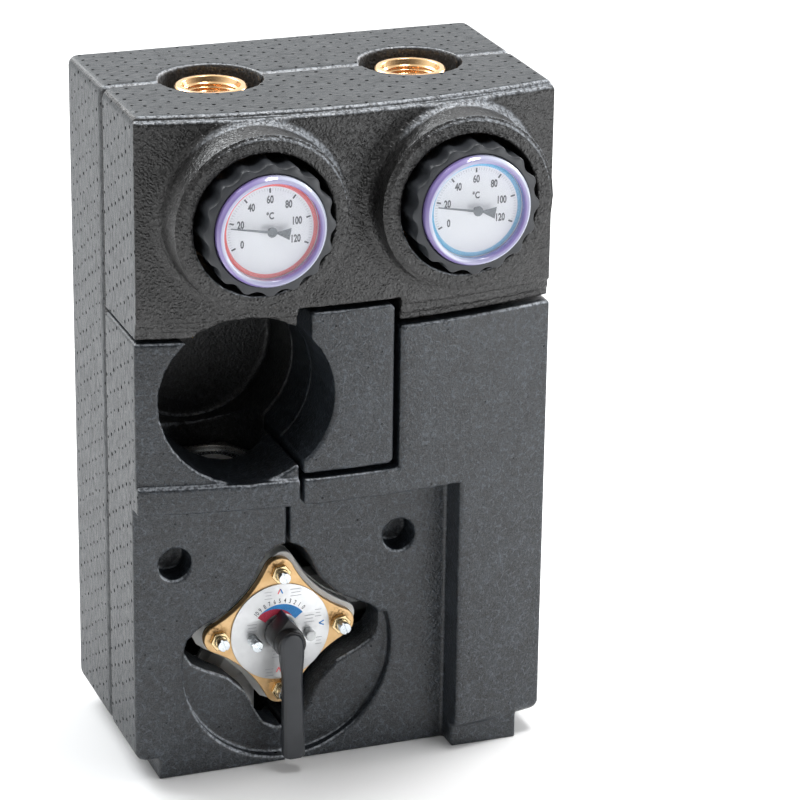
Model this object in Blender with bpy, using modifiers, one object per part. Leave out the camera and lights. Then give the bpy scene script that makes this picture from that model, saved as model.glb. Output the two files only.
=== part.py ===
"""Mixed heating-circuit pump group: two pipe lines, a mixing valve and a foam housing.

Row frame: metres, +Z up, the front faces -Y, +X is to the right seen from the front.
The origin is at the middle of the bottom of the bounding box.
"""
import math

import bpy
import bmesh
from mathutils import Vector

# --- Housing, the moulded foam insulation ---
HALF_WIDTH = 0.124
TOP_Z = 0.408
BODY_Z = 0.014
BACK_Y = 0.093
CREST_Y = -0.0596
ARC_RADIUS = 0.5037
PARTING_Y = 0.019
PARTING_Z = 0.277
SHELL_GAP = 0.003
OUTER_ROUND = 0.005
ARC_STEPS = 14
FOOT_LEFT_X = -0.110
FOOT_RIGHT_X = 0.108
FOOT_BACK_Y = 0.070
COLUMN_FOOT_SETBACK = 0.007

# --- The two lines ---
LINE_X = 0.060
LINE_Y = PARTING_Y
CHANNEL_RADIUS = 0.0315
NECK_RADIUS = 0.030
NECK_Z = 0.388
DIAL_Z = 0.351
PORT_TOP_Z = 0.4045
PORT_BOTTOM_Z = 0.004
PORT_RING_RADIUS = 0.02075
PORT_BORE_RADIUS = 0.01525
BORE_RADIUS = 0.013

# --- Thermometer collars on the upper front shell ---
COLLAR_RADIUS = 0.0510
COLLAR_HOLE_RADIUS = 0.0410
COLLAR_Y = -0.0786

# --- Pump bay ---
PUMP_X = -0.0615
PUMP_Z = 0.239
PUMP_HOLE_RADIUS = 0.0505
BAY_BACK_Y = 0.060
PUMP_TOP_Z = 0.304
PUMP_BOTTOM_Z = 0.174
LEDGE_TOP_Z = 0.189
LEDGE_BOTTOM_Z = 0.174
FACE_SETBACK = 0.003

# --- Insert beside the pump hole ---
INSERT_LEFT_X = -0.0295
INSERT_RIGHT_X = 0.0235
INSERT_BOTTOM_Z = 0.193
INSERT_TOP_Z = 0.289
INSERT_BACK_Y = -0.016
INSERT_OPENING_X = 0.028
INSERT_OPENING_TOP_Z = 0.293

# --- Lower recess and mixing valve ---
SPLIT_X = -0.031
RECESS_Y = -0.0336
RECESS_RIGHT_X = 0.0675
POCKET_Y = -0.0266
POCKET_RADIUS = 0.065
POCKET_Z = 0.0675
POCKET_TOP_Z = 0.088
LOCATING_HOLE_SPREAD = 0.0686
LOCATING_HOLE_Z = 0.136
LOCATING_HOLE_RADIUS = 0.0105
LOCATING_HOLE_DEPTH = 0.018
VALVE_X = -0.0325
VALVE_Z = 0.0795
COVER_Y = -0.0226
COVER_THICKNESS = 0.005
FLANGE_Y = -0.016
FLANGE_THICKNESS = 0.008
CHAMBER_RADIUS = 0.026
CHAMBER_BACK_Y = 0.038
SCREW_CIRCLE_RADIUS = 0.0375
SCREW_HOLE_RADIUS = 0.0032
LEVER_END_Z = 0.0090

# --- Four-lobed outlines of the mixing valve: lobe centre, lobe radius, valley radius ---
OPENING_LOBES = (0.044, 0.017, 0.040)
FLANGE_LOBES = (SCREW_CIRCLE_RADIUS, 0.0125, 0.0345)
GASKET_LOBES = (SCREW_CIRCLE_RADIUS, 0.0085, 0.0305)
COVER_LOBES = (SCREW_CIRCLE_RADIUS, 0.0090, 0.0310)

# --- Wall bracket, let into the back ---
BRACKET_THICKNESS = 0.003
BRACKET_Y = BACK_Y - BRACKET_THICKNESS
BRACKET_Z = 0.335
BRACKET_WIDTH = 0.100
BRACKET_HEIGHT = 0.030
BRACKET_HOLE_X = 0.038
BRACKET_HOLE_RADIUS = 0.0045
BOLT_ROOM_RADIUS = 0.009
BOLT_ROOM_DEPTH = 0.012

CLEARANCE = 0.0003

# --- Sides of the round pieces, from the collars down to the pins ---
FINE = 32
ROUND = 22
MEDIUM = 16
SMALL = 12
TINY = 8

FRONTWARD = (math.pi / 2, 0, 0)
LEFTWARD = (0, -math.pi / 2, 0)
UPWARD = (0, 0, 0)


def clear_scene():
    """Empty the startup scene."""
    for obj in list(bpy.data.objects):
        bpy.data.objects.remove(obj, do_unlink=True)


def new_collection(name):
    """A collection linked under the scene."""
    collection = bpy.data.collections.new(name)
    bpy.context.scene.collection.children.link(collection)
    return collection


clear_scene()
PARTS = new_collection("heating_circuit_pump_group")
CUTTERS = new_collection("cutters")


def material(name, colour, roughness, metallic=0.0):
    """A Principled material."""
    result = bpy.data.materials.new(name)
    result.use_nodes = True
    shader = result.node_tree.nodes["Principled BSDF"]
    shader.inputs["Base Color"].default_value = (*colour, 1)
    shader.inputs["Roughness"].default_value = roughness
    shader.inputs["Metallic"].default_value = metallic
    return result


FOAM = material("foam", (0.045, 0.047, 0.05), 0.75)
BRASS = material("brass", (0.78, 0.55, 0.26), 0.3, 1.0)
CHROME = material("chrome", (0.75, 0.76, 0.78), 0.15, 1.0)
STEEL = material("zinc_steel", (0.62, 0.64, 0.66), 0.35, 1.0)
CASTING = material("painted_casting", (0.72, 0.72, 0.70), 0.5)
PLASTIC = material("dark_plastic", (0.035, 0.037, 0.042), 0.45)
RUBBER = material("seal_rubber", (0.02, 0.02, 0.02), 0.8)
PTFE = material("ptfe", (0.85, 0.85, 0.83), 0.5)
DIAL_WHITE = material("dial_white", (0.85, 0.86, 0.9), 0.5)
BEZEL = material("bezel", (0.55, 0.55, 0.75), 0.15)
GLASS = material("glass", (0.9, 0.92, 0.95), 0.05)
NEEDLE = material("needle_grey", (0.25, 0.27, 0.3), 0.5)
LABEL = material("label_silver", (0.7, 0.71, 0.73), 0.4)


# ---------------------------------------------------------------- modelling helpers

def add_object(name, mesh, at=(0, 0, 0), turn=UPWARD, collection=PARTS, finish=None):
    """An object of this mesh in a collection."""
    obj = bpy.data.objects.new(name, mesh)
    obj.location = at
    obj.rotation_euler = turn
    collection.objects.link(obj)
    if finish is not None:
        mesh.materials.append(finish)
    if collection is CUTTERS:
        obj.hide_render = True
        obj.display_type = "WIRE"
    return obj


def smooth(mesh, angle=35):
    """Shade round sides smooth and keep real edges sharp."""
    mesh.shade_smooth()
    mesh.set_sharp_from_angle(angle=math.radians(angle))


def turned(name, profile, at, turn=UPWARD, steps=ROUND, finish=None, collection=PARTS):
    """Turn a profile of (radius, height) about the local Z axis.

    The profile runs down the outer side and back to its start; a stretch on the axis is left out.
    """
    points = [(radius, 0, height) for radius, height in profile]
    pairs = [(i, (i + 1) % len(points)) for i in range(len(points))]
    edges = [(a, b) for a, b in pairs if points[a][0] > 0 or points[b][0] > 0]
    mesh = bpy.data.meshes.new(name)
    mesh.from_pydata(points, edges, [])
    obj = add_object(name, mesh, at, turn, collection, finish)
    screw = obj.modifiers.new("turn", "SCREW")
    screw.axis = "Z"
    screw.steps = steps
    screw.render_steps = steps
    screw.use_merge_vertices = True
    screw.merge_threshold = 0.00005
    screw.use_smooth_shade = True
    return obj


def rod(name, radius, length, at, turn=UPWARD, steps=ROUND, finish=None, collection=CUTTERS):
    """A cylinder that starts at a point and runs along the local Z axis."""
    mesh = bpy.data.meshes.new(name)
    bm = bmesh.new()
    bmesh.ops.create_cone(bm, cap_ends=True, segments=steps, radius1=radius, radius2=radius, depth=length)
    bmesh.ops.translate(bm, vec=(0, 0, length / 2), verts=bm.verts)
    bm.to_mesh(mesh)
    bm.free()
    smooth(mesh)
    return add_object(name, mesh, at, turn, collection, finish)


def box(name, low, high, finish=None, collection=CUTTERS):
    """An axis-aligned box between two corners."""
    low, high = Vector(low), Vector(high)
    mesh = bpy.data.meshes.new(name)
    bm = bmesh.new()
    bmesh.ops.create_cube(bm, size=1)
    bmesh.ops.scale(bm, vec=high - low, verts=bm.verts)
    bm.to_mesh(mesh)
    bm.free()
    return add_object(name, mesh, (low + high) / 2, UPWARD, collection, finish)


def plate(name, outlines, thickness, at, turn=UPWARD, finish=None, collection=PARTS):
    """A flat piece from closed outlines; later outlines are holes. It runs up from its point."""
    curve = bpy.data.curves.new(name, "CURVE")
    curve.dimensions = "2D"
    curve.fill_mode = "BOTH"
    curve.extrude = thickness / 2
    for outline in outlines:
        spline = curve.splines.new("POLY")
        spline.points.add(len(outline) - 1)
        for point, (x, y) in zip(spline.points, outline):
            point.co = (x, y, 0, 1)
        spline.use_cyclic_u = True
    drawn = bpy.data.objects.new(name + "_outline", curve)
    CUTTERS.objects.link(drawn)
    bpy.context.view_layer.update()
    evaluated = drawn.evaluated_get(bpy.context.evaluated_depsgraph_get())
    mesh = bpy.data.meshes.new_from_object(evaluated)
    mesh.materials.clear()
    bpy.data.objects.remove(drawn, do_unlink=True)
    bm = bmesh.new()
    bm.from_mesh(mesh)
    bmesh.ops.remove_doubles(bm, verts=bm.verts, dist=0.00002)
    bmesh.ops.translate(bm, vec=(0, 0, thickness / 2), verts=bm.verts)
    bmesh.ops.dissolve_limit(bm, angle_limit=math.radians(0.5), verts=bm.verts, edges=bm.edges)
    bm.to_mesh(mesh)
    bm.free()
    mesh.name = name
    smooth(mesh)
    return add_object(name, mesh, at, turn, collection, finish)


def combine(obj, operation, tools):
    """Cut or join tool objects, which stay as wire cutters."""
    for tool in tools:
        step = obj.modifiers.new(tool.name, "BOOLEAN")
        step.operation = operation
        step.solver = "EXACT"
        step.object = tool
    return obj


def cut(obj, *tools):
    """Subtract the tools."""
    return combine(obj, "DIFFERENCE", tools)


def join(obj, *tools):
    """Add the tools."""
    return combine(obj, "UNION", tools)


def circle(radius, count=32, centre=(0, 0)):
    """Points of a circle."""
    angles = [2 * math.pi * i / count for i in range(count)]
    return [(centre[0] + radius * math.cos(a), centre[1] + radius * math.sin(a)) for a in angles]


def arc(centre, radius, start, end, count):
    """Points of an arc between two angles in radians, both ends included."""
    angles = [start + (end - start) * i / count for i in range(count + 1)]
    return [(centre[0] + radius * math.cos(a), centre[1] + radius * math.sin(a)) for a in angles]


def lobed(lobe_centre, lobe_radius, valley, lobe_points=5, valley_points=3):
    """Four round lobes joined by hollow arcs that touch them."""
    c, r, v = lobe_centre, lobe_radius, valley
    hollow = (c * c + v * v - math.sqrt(2) * c * v - r * r) / (2 * r - 2 * v + math.sqrt(2) * c)
    middle = v + hollow
    lean = math.atan2(middle * math.sin(math.pi / 4), middle * math.cos(math.pi / 4) - c)
    points = []
    for quarter in range(4):
        turn = quarter * math.pi / 2
        centre = (c * math.cos(turn), c * math.sin(turn))
        points += arc(centre, r, turn - lean, turn + lean, lobe_points)
        bowl = (middle * math.cos(turn + math.pi / 4), middle * math.sin(turn + math.pi / 4))
        start = turn + lean + math.pi
        end = turn + math.pi / 2 - lean + math.pi
        points += arc(bowl, hollow, start, end, valley_points)[1:-1]
    return points


def rounded_rectangle(width, height, radius, count=4):
    """A rectangle about the origin with round corners."""
    points = []
    for index, (sx, sy) in enumerate([(1, 1), (-1, 1), (-1, -1), (1, -1)]):
        centre = (sx * (width / 2 - radius), sy * (height / 2 - radius))
        points += arc(centre, radius, index * math.pi / 2, (index + 1) * math.pi / 2, count)
    return points


# ---------------------------------------------------------------- foam housing

def arc_front_y(x, setback=0.0):
    """Depth of the bowed front face at x."""
    return CREST_Y + ARC_RADIUS - math.sqrt(ARC_RADIUS ** 2 - x ** 2) + setback


def front_block(name, left, right, back_y, low_z, high_z, setback=0.0, finish=None, collection=PARTS):
    """A block with a flat back and the bowed front, rounded where it is outside."""
    count = max(3, round(ARC_STEPS * (right - left) / (2 * HALF_WIDTH)))
    xs = [right + (left - right) * i / count for i in range(count + 1)]
    outline = [(left, back_y), (right, back_y)] + [(x, arc_front_y(x, setback)) for x in xs]
    obj = plate(name, [outline], high_z - low_z, (0, 0, low_z), UPWARD, finish, collection)
    if collection is PARTS:
        round_outside(obj.data, low_z)
    return obj


def round_outside(mesh, base_z):
    """Round the edges between outer faces of the housing, except the upright ones at the front.

    The mesh's origin is at base_z.
    """
    bm = bmesh.new()
    bm.from_mesh(mesh)

    def outside(face):
        spot = face.calc_center_median()
        normal = face.normal
        if abs(normal.x) > 0.9:
            return abs(spot.x) > HALF_WIDTH - 0.0001
        if normal.z > 0.9:
            return spot.z + base_z > TOP_Z - 0.0001
        if normal.z < -0.9:
            return spot.z + base_z < BODY_Z + 0.0001
        if normal.y > 0.9:
            return spot.y > BACK_Y - 0.0001
        return True

    edges = []
    for edge in bm.edges:
        if len(edge.link_faces) == 2 and all(outside(face) for face in edge.link_faces):
            ends = [vert.co for vert in edge.verts]
            upright_at_front = abs(ends[0].z - ends[1].z) > 0.01 and ends[0].y < 0
            if edge.calc_face_angle() > math.radians(30) and not upright_at_front:
                edges.append(edge)
    bmesh.ops.bevel(bm, geom=edges, offset=OUTER_ROUND, segments=3, profile=0.5, affect="EDGES")
    bm.to_mesh(mesh)
    bm.free()
    smooth(mesh, 30)


def front_trim(name, left, right, low_z, high_z, setback):
    """A cutter that takes the front face back by a constant depth."""
    count = ARC_STEPS
    xs = [left + (right - left) * i / count for i in range(count + 1)]
    outline = [(x, arc_front_y(x, setback)) for x in xs] + [(right, -0.13), (left, -0.13)]
    return plate(name, [outline], high_z - low_z, (0, 0, low_z), UPWARD, None, CUTTERS)


def channel(name, x):
    """The round channel of one line through the housing, narrow at its top."""
    main = CHANNEL_RADIUS
    profile = [
        (0, TOP_Z + 0.01), (NECK_RADIUS, TOP_Z + 0.01), (NECK_RADIUS, NECK_Z + 0.002),
        (main, NECK_Z), (main, -0.01), (0, -0.01)]
    return turned(name, profile, (x, LINE_Y, 0), steps=ROUND, collection=CUTTERS)


def housing_cutters():
    """Every cavity that more than one shell shares."""
    tools = {}
    tools["flow_channel"] = channel("flow_channel", -LINE_X)
    tools["return_channel"] = channel("return_channel", LINE_X)
    tools["pump_hole"] = rod(
        "pump_hole", PUMP_HOLE_RADIUS, 0.2, (PUMP_X, BAY_BACK_Y, PUMP_Z), FRONTWARD, FINE)
    opening = lobed(*OPENING_LOBES)
    tools["valve_opening"] = plate(
        "valve_opening", [opening], 0.12, (VALVE_X, PARTING_Y + 0.002, VALVE_Z), FRONTWARD, None, CUTTERS)
    tools["chamber_room"] = rod(
        "chamber_room", 0.040, 0.05, (VALVE_X, 0.050, VALVE_Z), FRONTWARD, ROUND)
    tools["bypass_room"] = rod(
        "bypass_room", 0.024, LINE_X - VALVE_X, (LINE_X, LINE_Y, VALVE_Z), LEFTWARD, MEDIUM)
    tools["recess"] = box(
        "recess", (-0.140, -0.120, -0.010), (RECESS_RIGHT_X, RECESS_Y, LEDGE_BOTTOM_Z))
    rise = math.asin((POCKET_TOP_Z - POCKET_Z) / POCKET_RADIUS)
    swing = arc((SPLIT_X, POCKET_Z), POCKET_RADIUS, math.pi - rise, 2 * math.pi + rise, 36)
    tools["lever_pocket"] = plate(
        "lever_pocket", [swing], 0.03, (0, POCKET_Y, 0), FRONTWARD, None, CUTTERS)
    return tools


def foot(name, left, right, near_y, far_y):
    """A low foot under the housing, sunk a little into it to be joined."""
    return box(name, (left, near_y, 0), (right, far_y, BODY_Z + 0.004))


def locating_hole(name, side):
    """A blind round hole in the recess floor, seen from the valve axis on one side."""
    x = SPLIT_X + side * LOCATING_HOLE_SPREAD
    return rod(name, LOCATING_HOLE_RADIUS, 0.08,
               (x, RECESS_Y + LOCATING_HOLE_DEPTH, LOCATING_HOLE_Z), FRONTWARD, MEDIUM)


def make_back_shell(tools):
    """The rear half of the housing."""
    near = PARTING_Y + SHELL_GAP / 2
    corners = [(-HALF_WIDTH, near), (HALF_WIDTH, near), (HALF_WIDTH, BACK_Y), (-HALF_WIDTH, BACK_Y)]
    shell = plate("back_shell", [corners], TOP_Z - BODY_Z, (0, 0, BODY_Z), UPWARD, FOAM)
    round_outside(shell.data, BODY_Z)
    join(shell, foot("back_foot", FOOT_LEFT_X, FOOT_RIGHT_X, near, FOOT_BACK_Y))
    half_width = BRACKET_WIDTH / 2 + CLEARANCE
    half_height = BRACKET_HEIGHT / 2 + CLEARANCE
    slot = box("bracket_pocket", (-half_width, BRACKET_Y - CLEARANCE, BRACKET_Z - half_height),
               (half_width, BACK_Y + 0.02, BRACKET_Z + half_height))
    rooms = [rod("bolt_room_" + label, BOLT_ROOM_RADIUS, BOLT_ROOM_DEPTH + 0.001,
                 (side * BRACKET_HOLE_X, BRACKET_Y + 0.001, BRACKET_Z), FRONTWARD, SMALL)
             for side, label in ((-1, "left"), (1, "right"))]
    cut(shell, tools["flow_channel"], tools["return_channel"], tools["pump_hole"],
        tools["chamber_room"], tools["bypass_room"], slot, *rooms)


def make_upper_front_shell(tools):
    """The upper front cover with the two thermometer collars."""
    back = PARTING_Y - SHELL_GAP / 2
    low = PARTING_Z + 0.00125
    shell = front_block("upper_front_shell", -HALF_WIDTH, HALF_WIDTH, back, low, TOP_Z, 0, FOAM)
    for side, label in ((-1, "flow"), (1, "return")):
        root = arc_front_y(LINE_X) + 0.020
        collar = rod(label + "_collar", COLLAR_RADIUS, root - COLLAR_Y,
                     (side * LINE_X, root, DIAL_Z), FRONTWARD, FINE)
        join(shell, collar)
    for side, label in ((-1, "flow"), (1, "return")):
        hole = rod(label + "_collar_hole", COLLAR_HOLE_RADIUS, 0.15,
                   (side * LINE_X, PARTING_Y, DIAL_Z), FRONTWARD, FINE)
        cut(shell, hole)
    insert_room = box("insert_room_above", (-0.0335, -0.13, 0.26),
                      (INSERT_OPENING_X, PARTING_Y + 0.01, INSERT_OPENING_TOP_Z))
    cut(shell, tools["flow_channel"], tools["return_channel"], tools["pump_hole"], insert_room,
        front_trim("rim_step_low", -0.13, 0.13, 0.26, PARTING_Z + 0.0065, FACE_SETBACK),
        front_trim("rim_step_high", -0.13, 0.13, 0.26, PARTING_Z + 0.0120, FACE_SETBACK / 2))


def make_lower_front_shells(tools):
    """The two lower front covers, which meet in the middle of the mixing valve."""
    back = PARTING_Y - SHELL_GAP / 2
    high = PARTING_Z - 0.00125
    left_edge = SPLIT_X - 0.0015
    right_edge = SPLIT_X + 0.0015
    left = front_block("lower_front_shell_left", -HALF_WIDTH, left_edge, back, BODY_Z, high, 0, FOAM)
    join(left, foot("left_foot", FOOT_LEFT_X, left_edge, RECESS_Y, back))
    cut(left, tools["recess"],
        front_trim("bay_face", -0.13, -0.02, LEDGE_TOP_Z, 0.29, FACE_SETBACK),
        tools["pump_hole"], tools["flow_channel"], tools["valve_opening"], tools["lever_pocket"],
        locating_hole("locating_hole_left", -1))
    right = front_block("lower_front_shell_right", right_edge, HALF_WIDTH, back, BODY_Z, high, 0, FOAM)
    join(right, foot("right_foot", right_edge, FOOT_RIGHT_X, RECESS_Y, back))
    column_front = arc_front_y(RECESS_RIGHT_X, COLUMN_FOOT_SETBACK)
    join(right, foot("column_foot", RECESS_RIGHT_X, FOOT_RIGHT_X, column_front, RECESS_Y + 0.002))
    insert_room = box("insert_room_below", (-0.05, -0.13, LEDGE_TOP_Z),
                      (INSERT_OPENING_X, INSERT_BACK_Y + CLEARANCE * 2, 0.29))
    cut(right, tools["recess"], insert_room, tools["pump_hole"], tools["flow_channel"],
        tools["return_channel"], tools["valve_opening"], tools["lever_pocket"], tools["bypass_room"],
        locating_hole("locating_hole_right", 1))


def make_insert(tools):
    """The loose block that closes the gap between the pump hole and the return side."""
    block = front_block("pump_bay_insert", INSERT_LEFT_X, INSERT_RIGHT_X, INSERT_BACK_Y,
                        INSERT_BOTTOM_Z, INSERT_TOP_Z, 0.001, FOAM)
    notch = box("insert_notch", (-0.05, -0.13, 0.268), (-0.025, 0.0, 0.30))
    cut(block, tools["pump_hole"], notch)


# ---------------------------------------------------------------- wall bracket

def make_wall_bracket():
    """A flat steel plate let into the back, with two bolt holes."""
    outline = rounded_rectangle(BRACKET_WIDTH, BRACKET_HEIGHT, 0.006)
    holes = [circle(BRACKET_HOLE_RADIUS, TINY, (side * BRACKET_HOLE_X, 0)) for side in (-1, 1)]
    plate("wall_bracket", [outline] + holes, BRACKET_THICKNESS, (0, BACK_Y, BRACKET_Z), FRONTWARD, STEEL)


# ---------------------------------------------------------------- isolating valves

BODY_RADIUS = 0.0255
CAVITY_RADIUS = 0.0203
CAVITY_LOW = -0.021
CAVITY_HIGH = 0.026
TAIL_RADIUS = 0.018
FLANGE_RADIUS = 0.0215
BALL_RADIUS = 0.018
BALL_BORE_RADIUS = 0.012
BOSS_RADIUS = 0.011
STEM_RADIUS = 0.005
STEM_BORE_RADIUS = 0.0026
BOSS_LENGTH = 0.045
PACKING_DEPTH = 0.029
WHEEL_RADIUS = 0.0378
WHEEL_NOTCHES = 16
WHEEL_FRONT_Y = -0.0886
WHEEL_DEPTH = 0.0346
WHEEL_WEB_Y = -0.0700
WHEEL_WEB_THICKNESS = 0.006
SOCKET_RADIUS = 0.0322
BEZEL_RADIUS = 0.0318
BEZEL_BORE_RADIUS = 0.0268
BEZEL_FRONT_Y = -0.093
BEZEL_BACK_Y = -0.0863
DIAL_FACE_Y = -0.0872
CASE_RADIUS = 0.0315
CASE_BORE_RADIUS = 0.0291
NEEDLE_Y = -0.0909
NEEDLE_REST_ANGLE = math.radians(169.6)


def make_valve_body(label, x):
    """The lower brass casting of one valve, open at the top, with a boss for the stem."""
    tail_top = PUMP_TOP_Z - DIAL_Z
    profile = [
        (0.0235, CAVITY_HIGH), (BODY_RADIUS, CAVITY_HIGH - 0.003), (BODY_RADIUS, -0.022),
        (TAIL_RADIUS, -0.031), (TAIL_RADIUS, tail_top + 0.004), (FLANGE_RADIUS, tail_top + 0.004),
        (FLANGE_RADIUS, tail_top), (BORE_RADIUS, tail_top), (BORE_RADIUS, CAVITY_LOW),
        (CAVITY_RADIUS, CAVITY_LOW), (CAVITY_RADIUS, CAVITY_HIGH)]
    body = turned(label + "_valve_body", profile, (x, LINE_Y, DIAL_Z), finish=BRASS)
    boss_root = LINE_Y - 0.0225
    boss = rod(label + "_boss", BOSS_RADIUS, BOSS_LENGTH - 0.0225, (x, boss_root, DIAL_Z), FRONTWARD, MEDIUM)
    bore = rod(label + "_stem_bore", STEM_RADIUS + CLEARANCE, 0.06, (x, LINE_Y - 0.010, DIAL_Z),
               FRONTWARD, SMALL)
    recess = rod(label + "_packing_recess", 0.008, 0.04, (x, LINE_Y - PACKING_DEPTH, DIAL_Z),
                 FRONTWARD, SMALL)
    join(body, boss)
    cut(body, bore, recess)


def make_valve_socket(label, x):
    """The upper brass piece: it holds the upper seat and ends in the threaded port."""
    port = PORT_TOP_Z - DIAL_Z
    neck = CAVITY_HIGH + CLEARANCE
    profile = [
        (PORT_RING_RADIUS, port), (PORT_RING_RADIUS, 0.034), (0.0250, 0.034), (0.0250, neck),
        (0.0200, neck), (0.0200, 0.021), (BORE_RADIUS, 0.021), (BORE_RADIUS, 0.034),
        (PORT_BORE_RADIUS, 0.036), (PORT_BORE_RADIUS, port)]
    turned(label + "_valve_socket", profile, (x, LINE_Y, DIAL_Z), steps=ROUND, finish=BRASS)


def make_seats(label, x):
    """The two PTFE seats that hold the ball."""
    rise = 0.0206
    upper = [
        (0.0199, rise), (0.0199, 0.0115), (0.0145, 0.0115), (0.0130, 0.0134), (0.0130, rise)]
    lower = [(0.0145, -0.0115), (0.0199, -0.0115), (0.0199, -rise), (0.0130, -rise), (0.0130, -0.0134)]
    turned(label + "_seat_upper", upper, (x, LINE_Y, DIAL_Z), steps=MEDIUM, finish=PTFE)
    turned(label + "_seat_lower", lower, (x, LINE_Y, DIAL_Z), steps=MEDIUM, finish=PTFE)


def make_ball(label, x):
    """The bored chrome ball, slotted for the stem."""
    mesh = bpy.data.meshes.new(label + "_ball")
    bm = bmesh.new()
    bmesh.ops.create_uvsphere(bm, u_segments=SMALL, v_segments=TINY, radius=BALL_RADIUS)
    bm.to_mesh(mesh)
    bm.free()
    smooth(mesh)
    ball = add_object(label + "_ball", mesh, (x, LINE_Y, DIAL_Z), UPWARD, PARTS, CHROME)
    bore = rod(label + "_ball_bore", BALL_BORE_RADIUS, 0.05, (x, LINE_Y, DIAL_Z - 0.025), UPWARD, MEDIUM)
    slot = box(label + "_ball_slot", (x - 0.0032, LINE_Y - 0.02, DIAL_Z - 0.012),
               (x + 0.0032, LINE_Y - 0.0145, DIAL_Z + 0.012))
    cut(ball, bore, slot)


def make_stem(label, x):
    """The hollow stem from the ball to the handwheel, with a tang for the ball's slot."""
    front = LINE_Y - (WHEEL_WEB_Y + 0.001)
    profile = [
        (STEM_BORE_RADIUS, front), (STEM_RADIUS, front), (STEM_RADIUS, BALL_RADIUS + CLEARANCE),
        (0, BALL_RADIUS + CLEARANCE), (0, 0.0265), (STEM_BORE_RADIUS, 0.0265)]
    stem = turned(label + "_stem", profile, (x, LINE_Y, DIAL_Z), FRONTWARD, SMALL, BRASS)
    tang = box(label + "_tang", (x - 0.0029, LINE_Y - BALL_RADIUS - 0.001, DIAL_Z - 0.0038),
               (x + 0.0029, LINE_Y - 0.0148, DIAL_Z + 0.0038))
    join(stem, tang)


def make_stem_packing(label, x):
    """The seal ring and the gland nut around the stem."""
    hole = STEM_RADIUS + CLEARANCE
    seal = [(0.0077, 0.0352), (0.0077, PACKING_DEPTH + CLEARANCE), (hole, PACKING_DEPTH + CLEARANCE),
            (hole, 0.0352)]
    turned(label + "_stem_seal", seal, (x, LINE_Y, DIAL_Z), FRONTWARD, SMALL, RUBBER)
    gland = [(0.0092, 0.0500), (0.0100, 0.0492), (0.0100, BOSS_LENGTH + CLEARANCE),
             (0.0077, BOSS_LENGTH + CLEARANCE), (0.0077, 0.0355), (hole, 0.0355), (hole, 0.0500)]
    turned(label + "_stem_gland", gland, (x, LINE_Y, DIAL_Z), FRONTWARD, SMALL, BRASS)


def make_handwheel(label, x):
    """The scalloped wheel around the thermometer, with a web and a hub for the stem."""
    points = []
    for notch in range(WHEEL_NOTCHES):
        for part, drop in ((0, 0.0), (0.22, 0.0011), (0.5, 0.0026), (0.78, 0.0011)):
            angle = math.pi / 2 + 2 * math.pi * (notch + part) / WHEEL_NOTCHES
            radius = WHEEL_RADIUS - drop
            points.append((radius * math.cos(angle), radius * math.sin(angle)))
    back = WHEEL_FRONT_Y + WHEEL_DEPTH
    wheel = plate(label + "_handwheel", [points], WHEEL_DEPTH, (x, back, DIAL_Z), FRONTWARD, PLASTIC)
    socket = rod(label + "_thermometer_socket", SOCKET_RADIUS, 0.05, (x, WHEEL_WEB_Y, DIAL_Z),
                 FRONTWARD, ROUND)
    web_back = WHEEL_WEB_Y + WHEEL_WEB_THICKNESS
    hollow = [(0.0333, 0), (0.0333, -0.03), (0.010, -0.03), (0.010, 0)]
    rear = turned(label + "_wheel_hollow", hollow, (x, web_back, DIAL_Z), FRONTWARD, ROUND,
                  None, CUTTERS)
    bore = rod(label + "_wheel_bore", STEM_RADIUS + CLEARANCE, 0.08, (x, back + 0.01, DIAL_Z),
               FRONTWARD, SMALL)
    cut(wheel, socket, rear, bore)


def make_thermometer(label, x):
    """Case, probe, dial, pointer, glass and bezel of the thermometer pushed into the wheel."""
    case_back = LINE_Y - (WHEEL_WEB_Y - CLEARANCE)
    wall_front = LINE_Y - (BEZEL_BACK_Y + CLEARANCE)
    case = [
        (CASE_RADIUS, wall_front), (CASE_RADIUS, case_back), (STEM_BORE_RADIUS, case_back),
        (STEM_BORE_RADIUS, case_back + 0.0015), (CASE_BORE_RADIUS, case_back + 0.0015),
        (CASE_BORE_RADIUS, wall_front)]
    turned(label + "_thermometer_case", case, (x, LINE_Y, DIAL_Z), FRONTWARD, ROUND, PLASTIC)
    probe_tip = 0.028
    rod(label + "_thermometer_probe", 0.0022, case_back + 0.004 - probe_tip,
        (x, LINE_Y - probe_tip, DIAL_Z), FRONTWARD, TINY, BRASS, PARTS)
    face = LINE_Y - DIAL_FACE_Y
    dial = [(0.0287, face), (0.0287, face - 0.0006), (0.0013, face - 0.0006), (0.0013, face)]
    turned(label + "_dial", dial, (x, LINE_Y, DIAL_Z), FRONTWARD, ROUND, DIAL_WHITE)
    front = LINE_Y - BEZEL_FRONT_Y
    seat = LINE_Y - BEZEL_BACK_Y
    bezel = [
        (0.0278, front), (0.0303, front - 0.0004), (BEZEL_RADIUS, front - 0.0026), (BEZEL_RADIUS, seat),
        (CASE_BORE_RADIUS, seat), (CASE_BORE_RADIUS, seat + 0.0012), (BEZEL_BORE_RADIUS, seat + 0.0012),
        (BEZEL_BORE_RADIUS, front - 0.0006)]
    turned(label + "_bezel", bezel, (x, LINE_Y, DIAL_Z), FRONTWARD, ROUND, BEZEL)
    pane = [(0, front - 0.0007), (0.0265, front - 0.0007), (0.0265, front - 0.0013), (0, front - 0.0013)]
    turned(label + "_glass", pane, (x, LINE_Y, DIAL_Z), FRONTWARD, ROUND, GLASS)
    make_pointer(label, x)


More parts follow.
